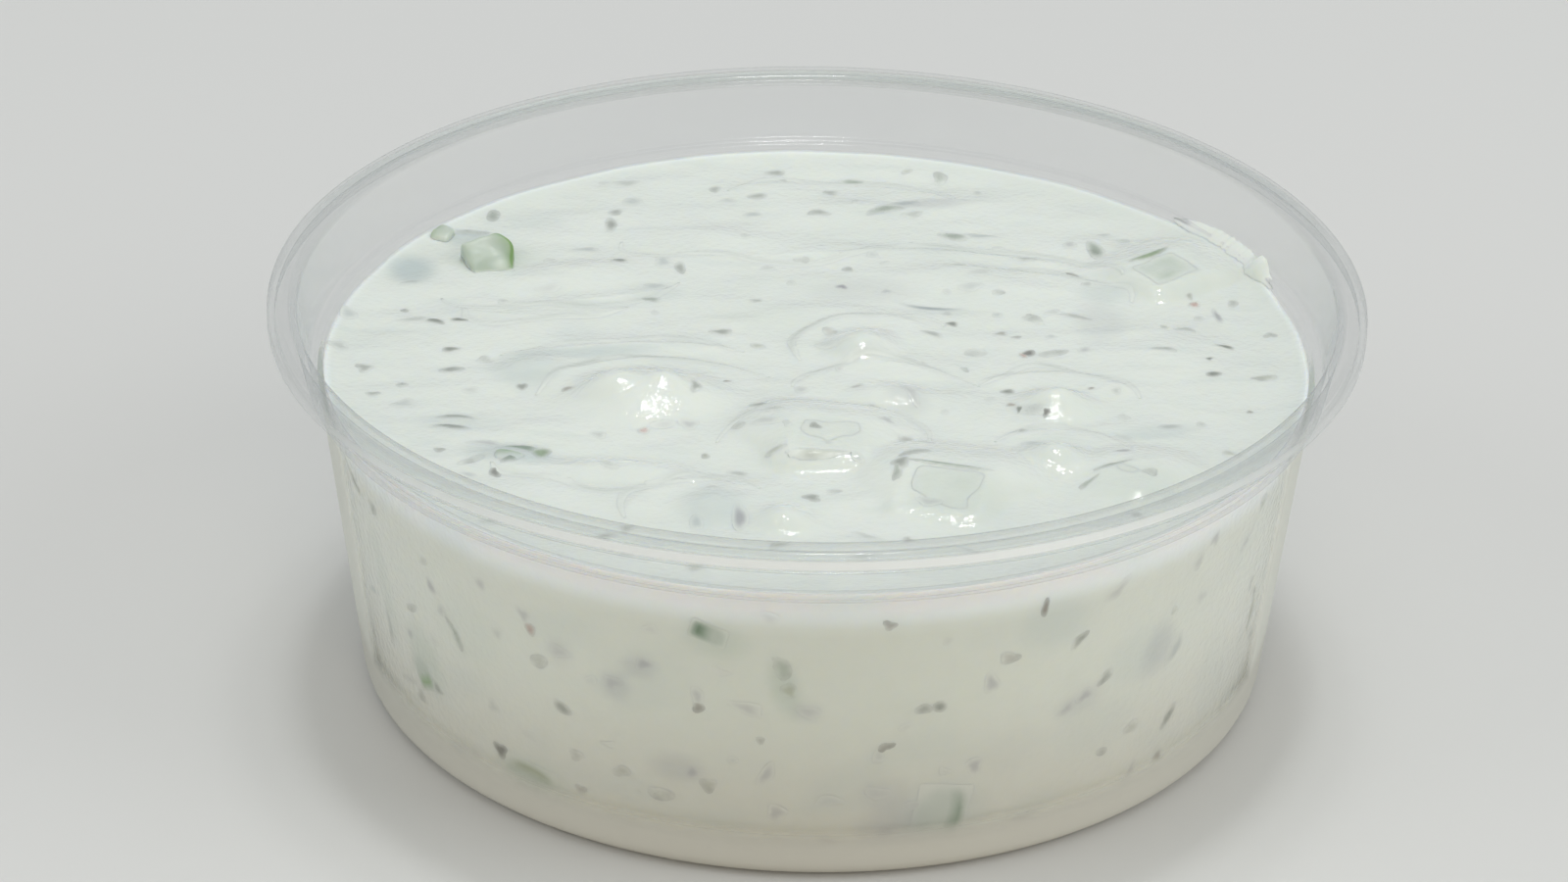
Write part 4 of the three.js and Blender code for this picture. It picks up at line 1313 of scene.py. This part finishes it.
# Each food's material: roughness of its wet film (low, high), grains to a millimetre, how deep the
# grain and the mottle are, how far light scatters in it, and how much the mottle darkens it.
FOODS = {
    "yogurt": ((0.04, 0.10), 1.3, 0.10, 0.012, 0.4, 0.015),
    "yogurt_film": ((0.04, 0.10), 1.3, 0.10, 0.012, 0, 0.015),
    "cucumber": ((0.04, 0.10), 1.3, 0.10, 0.02, 0.4, 0.05),
    "bare_cucumber": ((0.28, 0.45), 1.2, 0.03, 0.02, 0.4, 0.05),
    "herb": ((0.25, 0.5), 3.2, 0.02, 0.05, 0, 0.3),
    "sunk_herb": ((0.05, 0.12), 1.2, 0.10, 0.012, 0, 0.05),
    "pepper": ((0.35, 0.6), 4.0, 0.03, 0.05, 0, 0.4),
    "red_bits": ((0.2, 0.4), 3.0, 0.02, 0.05, 0, 0.2),
    "stem": ((0.2, 0.4), 2.0, 0.02, 0.05, 0, 0.15),
}
FOOD_ROUGHNESS = 0.55  # of the food under its wet film
FOOD_SHINE = 0.2
FILM_IOR = 1.4
MOTTLE = (450, 3)  # scale and detail
GRAIN_DETAIL = 2
NOISE_SPREAD = (0.3, 0.7)  # noise is mostly between these
SCATTER_RADIUS = (1.0, 0.9, 0.7)
UPRIGHT_Z = 0.05  # how much of its slope a normal keeps where it is made upright


class Nodes:
    """A new material, with short ways to add and link its nodes."""

    def __init__(self, name):
        self.material = bpy.data.materials.new(name)
        self.material.use_nodes = True
        self.tree = self.material.node_tree
        self.shader = self.tree.nodes["Principled BSDF"]

    def set(self, node, inputs):
        """Links inputs to the outputs of other nodes, or sets them to constants."""
        for name, value in inputs.items():
            if isinstance(value, bpy.types.NodeSocket):
                self.tree.links.new(value, node.inputs[name])
            else:
                node.inputs[name].default_value = value

    def add(self, kind, inputs, output, **settings):
        """A new node, of which the named output is given back."""
        node = self.tree.nodes.new("ShaderNode" + kind)
        for name, value in settings.items():
            setattr(node, name, value)
        self.set(node, inputs)
        return node.outputs[output]

    @cached_property
    def place(self):
        return self.add("TexCoord", {}, "Object")

    @cached_property
    def height(self):
        return self.add("SeparateXYZ", {"Vector": self.place}, "Z")

    def noise(self, scale, detail):
        return self.add("TexNoise", {"Vector": self.place, "Scale": scale, "Detail": detail}, "Fac")

    def ramp(self, value, start, end, low=0.0, high=1.0):
        """A number that goes from low to high while the value goes from start to end."""
        ends = {"From Min": start, "From Max": end, "To Min": low, "To Max": high}
        return self.add("MapRange", {"Value": value, **ends}, "Result")

    def number(self, operation, first, second):
        return self.add("Math", {0: first, 1: second}, "Value", operation=operation)

    def vector(self, operation, first, second=(0, 0, 0), output="Vector"):
        return self.add("VectorMath", {0: first, 1: second}, output, operation=operation)

    def mix(self, share, first, second, data_type="RGBA", blend_type="MIX"):
        """Goes from the first colour or vector to the second."""
        inputs = {"Factor": share, "A": first, "B": second}
        return self.add("Mix", inputs, "Result", data_type=data_type, blend_type=blend_type)

    def mix_shader(self, share, first, second):
        return self.add("MixShader", {0: share, 1: first, 2: second}, "Shader")

    def mix_normal(self, share, first, second):
        return self.vector("NORMALIZE", self.mix(share, first, second, "VECTOR"))

    def bump(self, height, depth, under=None):
        """Bumps that are depth millimetres deep."""
        inputs = {"Strength": 1.0, "Distance": depth * MM, "Height": height}
        if under is not None:
            inputs["Normal"] = under
        return self.add("Bump", inputs, "Normal")

    def upright_normal(self):
        """The round corner at the foot is lit as the wall is, because the plastic bends light round it."""
        normal = self.add("NewGeometry", {}, "Normal")
        level = self.vector("NORMALIZE", self.vector("MULTIPLY", normal, (1, 1, UPRIGHT_Z)))
        low = self.ramp(self.height, CORNER_TOP * MM, CORNER_LOW * MM)
        return self.mix_normal(low, normal, level)


def wet_food(name, roughness, grain, grain_depth, mottle_depth, scatter, shade):
    """A wet food whose colour lies in the tint at each point, under a shiny film with fine grain."""
    nodes = Nodes(name)
    tint = nodes.add("VertexColor", {}, "Color", layer_name="tint")
    mottle = nodes.noise(*MOTTLE)
    grains = nodes.noise(grain / MM, GRAIN_DETAIL)
    level = nodes.ramp(mottle, *NOISE_SPREAD, 1 - shade, 1.0)
    grey = nodes.add("CombineColor", {channel: level for channel in ("Red", "Green", "Blue")}, "Color")
    coarse = nodes.bump(mottle, mottle_depth, nodes.upright_normal())
    nodes.set(nodes.shader, {
        "Base Color": nodes.mix(1.0, tint, grey, blend_type="MULTIPLY"),
        "Roughness": FOOD_ROUGHNESS,
        "Specular IOR Level": FOOD_SHINE,
        "Normal": coarse,
        "Coat Weight": 1.0,
        "Coat IOR": FILM_IOR,
        "Coat Roughness": nodes.ramp(grains, *NOISE_SPREAD, *roughness),
        "Coat Normal": nodes.bump(grains, grain_depth, coarse),
    })
    if scatter:
        nodes.set(nodes.shader, {
            "Subsurface Weight": 1.0,
            "Subsurface Radius": SCATTER_RADIUS,
            "Subsurface Scale": scatter * MM,
        })
    return nodes.material


def lip_parts(nodes):
    """Where the band of painted highlight round the lip is, the top of the lip, and the bead inside it,
    which is painted dark grey.
    """
    radius = nodes.vector("LENGTH", nodes.vector("MULTIPLY", nodes.place, (1, 1, 0)), output="Value")
    low, high = LIP_BAND_MIDDLE - LIP_BAND_HALF, LIP_BAND_MIDDLE + LIP_BAND_HALF
    band = nodes.ramp(nodes.height, (low - LIP_BAND_EDGE) * MM, low * MM, high=LIP_HIGHLIGHT_COVER)
    under_top = nodes.ramp(nodes.height, (high + LIP_BAND_EDGE) * MM, high * MM)
    band = nodes.number("MULTIPLY", band, under_top)
    outside = nodes.ramp(radius, *((RIM_RADIUS - depth) * MM for depth in LIP_BAND_DEPTH))
    band = nodes.number("MULTIPLY", band, outside)
    top = nodes.ramp(nodes.height, *((HEIGHT - depth) * MM for depth in LIP_TOP))
    bead_radius = RIM_INNER_RADIUS + LIP_BEAD
    bead = nodes.ramp(radius, (bead_radius + BEAD_WIDTH) * MM, bead_radius * MM, high=BEAD_PAINTED_DARKNESS)
    return band, top, nodes.number("MULTIPLY", bead, top)


def clear_plastic():
    """Thin clear plastic with a faint milkiness, of which more shows where it is seen edge on.

    The lip has a band of painted highlight round it, and painted dark grey on its top and bead. The foot,
    and the filled part where it is seen edge on, are painted with the colour of the yogurt behind them,
    darker at the foot where that yogurt is in shade, because a real wall bends light there.
    """
    nodes = Nodes("clear_plastic")
    band, top, bead = lip_parts(nodes)
    facing = nodes.add("LayerWeight", {"Blend": 0.5}, "Facing")
    edge_on = nodes.number("POWER", facing, PLASTIC_EDGE_POWER)
    band = nodes.number("MULTIPLY", band, nodes.ramp(facing, *LIP_BAND_FADES[::-1]))

    above = nodes.ramp(nodes.height, DIP_EDGE_HEIGHT * MM, SHELF_HEIGHT * MM)
    milky = nodes.number("MULTIPLY", edge_on, PLASTIC_EDGE_MILKINESS)
    milky = nodes.number("ADD", milky, PLASTIC_MILKINESS)
    milky = nodes.number("MULTIPLY", nodes.number("ADD", milky, bead), above)

    higher = nodes.number("MULTIPLY", edge_on, FOOT_PAINT_HIGHER * MM)
    lowered = nodes.number("SUBTRACT", nodes.height, higher)
    foot = nodes.ramp(lowered, FOOT_PAINT_TOP * MM, FOOT_PAINT_FULL * MM)
    beside = nodes.ramp(nodes.height, SHELF_HEIGHT * MM, DIP_EDGE_HEIGHT * MM)
    filled = nodes.number("MULTIPLY", nodes.ramp(facing, *FILLED_EDGE), beside)
    filled = nodes.number("MAXIMUM", foot, filled)
    thick = nodes.number("MAXIMUM", band, nodes.number("MULTIPLY", filled, PAINTED_YOGURT_COVER))

    # painted yogurt on the foot and on the filled wall seen edge on, with painted light where it thins out
    over_yogurt = nodes.mix(filled, THIN_MILK_PAINTED_LIGHT, nodes.mix(foot, SIDE_PAINTED_YOGURT, FOOT_PAINTED_SHADED_YOGURT))
    # painted dark grey on the lip's top and bead, and a band of painted highlight round its skirt
    colour = nodes.mix(band, nodes.mix(top, PLASTIC_MILK, LIP_PAINTED_DARK_GREY), LIP_PAINTED_HIGHLIGHT)
    colour = nodes.mix(nodes.ramp(filled, 0, THIN_MILK_FROM), colour, over_yogurt)
    normal = nodes.upright_normal()
    upward = nodes.vector("ADD", normal, (0, 0, LIP_LIT_FROM_ABOVE))
    nodes.set(nodes.shader, {
        "Base Color": colour,
        "Roughness": PLASTIC_ROUGHNESS,
        "Normal": nodes.mix_normal(band, normal, upward),
    })

    clear = nodes.add("BsdfTransparent", {"Color": PLASTIC_CLEAR}, "BSDF")
    milkiness = nodes.number("MAXIMUM", milky, thick)
    film = nodes.mix_shader(milkiness, clear, nodes.shader.outputs["BSDF"])
    uneven = nodes.bump(nodes.noise(*PLASTIC_CLOUDS), PLASTIC_CLOUD_DEPTH)
    gloss = nodes.add("BsdfGlossy", {"Roughness": PLASTIC_GLOSS_ROUGHNESS, "Normal": uneven}, "BSDF")
    shine = nodes.number("MULTIPLY", edge_on, PLASTIC_EDGE_SHINE)
    shine = nodes.number("ADD", shine, PLASTIC_SHINE)
    nodes.set(nodes.tree.nodes["Material Output"], {"Surface": nodes.mix_shader(shine, film, gloss)})
    return nodes.material


def pale_floor():
    nodes = Nodes("pale_floor")
    nodes.set(nodes.shader, {"Base Color": FLOOR_COLOUR, "Roughness": FLOOR_ROUGHNESS})
    return nodes.material


# ================================================================ light and camera
FLOOR_COLOUR = (0.672, 0.686, 0.68, 1)
FLOOR_ROUGHNESS = 0.6
FLOOR_HALF = 3000
WORLD_COLOUR = (0.98, 1.0, 1.0, 1)
WORLD_STRENGTH = 0.38
LIGHT_TARGET = (0, 0, 0.02)
WHITE = (1.0, 1.0, 1.0)
# Where each soft light stands and how wide it is, in metres, its power and its colour.
LIGHTS = {
    "key_light": ((0.03, 0.16, 0.8), 0.12, 1.35, WHITE),
    "soft_top_light": ((0, 0.05, 1.5), 1.6, 3.8, WHITE),
    "warm_front_light": ((0.1, -1.2, 0.5), 0.9, 3.6, (1.0, 0.78, 0.55)),
    "left_light": ((-1.1, -0.3, 0.6), 0.9, 3.1, WHITE),
    "right_light": ((1.1, -0.3, 0.6), 0.9, 4.8, WHITE),
    "back_light": ((0.0, 1.3, 0.6), 1.0, 0.8, WHITE),
}
MIRRORED_LIGHTS = ["key_light"]  # the others are too soft to show as highlights


def aim(thing, place, target):
    thing.location = Vector(place)
    thing.rotation_euler = (Vector(target) - Vector(place)).to_track_quat("-Z", "Y").to_euler()


def add_area_light(name, place, target, size, power, colour, mirrored):
    light = bpy.data.lights.new(name, "AREA")
    light.shape = "DISK"
    light.size = size
    light.energy = power
    light.color = colour
    made = bpy.data.objects.new(name, light)
    made.visible_glossy = mirrored
    bpy.context.collection.objects.link(made)
    aim(made, place, target)


def light_the_scene():
    world = bpy.data.worlds.new("studio")
    bpy.context.scene.world = world
    world.use_nodes = True
    background = world.node_tree.nodes["Background"]
    background.inputs["Color"].default_value = WORLD_COLOUR
    background.inputs["Strength"].default_value = WORLD_STRENGTH
    for name, (place, size, power, colour) in LIGHTS.items():
        add_area_light(name, place, LIGHT_TARGET, size, power, colour, name in MIRRORED_LIGHTS)


# The camera's lens and sensor, how far it stands from the cup, and how it is turned, in degrees.
LENS = 135
SENSOR = 36
CAMERA_DISTANCE = 636.9
CAMERA_ELEVATION = 28.07
CAMERA_AIM_HEIGHT = 21.625
CAMERA_PAN = -0.30
CAMERA_TILT = 0.28
CAMERA_ROLL = 0.82
CAMERA_CLIP = (0.05, 20)  # metres


def add_camera():
    elevation = math.radians(CAMERA_ELEVATION)
    away = Vector((0, -math.cos(elevation), math.sin(elevation)))
    place = away * CAMERA_DISTANCE + Vector((0, 0, CAMERA_AIM_HEIGHT))
    right = Vector((1, 0, 0))
    up = right.cross(-away)
    look = -away + right * math.tan(math.radians(CAMERA_PAN)) + up * math.tan(math.radians(CAMERA_TILT))
    look.normalize()
    right = look.cross(Vector((0, 0, 1))).normalized()
    up = right.cross(look)
    roll = math.radians(CAMERA_ROLL)
    camera_x = right * math.cos(roll) + up * math.sin(roll)
    camera_y = up * math.cos(roll) - right * math.sin(roll)
    camera = bpy.data.cameras.new("camera")
    camera.lens = LENS
    camera.sensor_width = SENSOR
    camera.clip_start, camera.clip_end = CAMERA_CLIP
    made = bpy.data.objects.new("camera", camera)
    bpy.context.collection.objects.link(made)
    turn = Matrix((camera_x, camera_y, -look)).transposed().to_4x4()
    made.matrix_world = Matrix.Translation(place * MM) @ turn
    bpy.context.scene.camera = made


def add_floor():
    corners = [(-1, -1), (1, -1), (1, 1), (-1, 1)]
    floor = make_object("floor", [(x * FLOOR_HALF, y * FLOOR_HALF, 0) for x, y in corners], [(0, 1, 2, 3)])
    floor.data.materials.append(pale_floor())


# ================================================================ putting it together
def finish_piece(piece, material):
    piece.data.materials.append(material)
    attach(piece, "root")


def build():
    foods = {name: wet_food(name, *looks) for name, looks in FOODS.items()}

    cup = lathe("clear_cup", with_holding_rings(cup_outside() + cup_lip() + cup_inside()), CUP_SEGMENTS)
    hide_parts("cup")
    finish_piece(cup, clear_plastic())

    dip = make_dip()
    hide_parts("dip")
    finish_piece(dip, foods["yogurt"])

    for node in TOP_CUCUMBERS:
        piece = make_top_cucumber(node)
        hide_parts(node)
        finish_piece(piece, foods["cucumber" if node in COVERED_CUCUMBERS else "bare_cucumber"])
    for node in WALL_CUCUMBERS:
        piece = make_wall_cucumber(node)
        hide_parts(node)
        finish_piece(piece, foods["yogurt_film"])
    finish_piece(make_cucumber_bits(), foods["bare_cucumber"])
    finish_piece(make_smear(), foods["yogurt"])
    # Thin lines of painted shade under the edges of the folds.
    creases = join_parts("crease_shade_lines", [crease_line(*fold) for fold in FOLDS])
    finish_piece(creases, foods["yogurt_film"])
    for piece, material in make_flecks():
        finish_piece(piece, foods[material])


bpy.context.scene.view_settings.view_transform = "Standard"
bpy.context.scene.cycles.transparent_max_bounces = CLEAR_CROSSINGS
build()
add_floor()
light_the_scene()
add_camera()
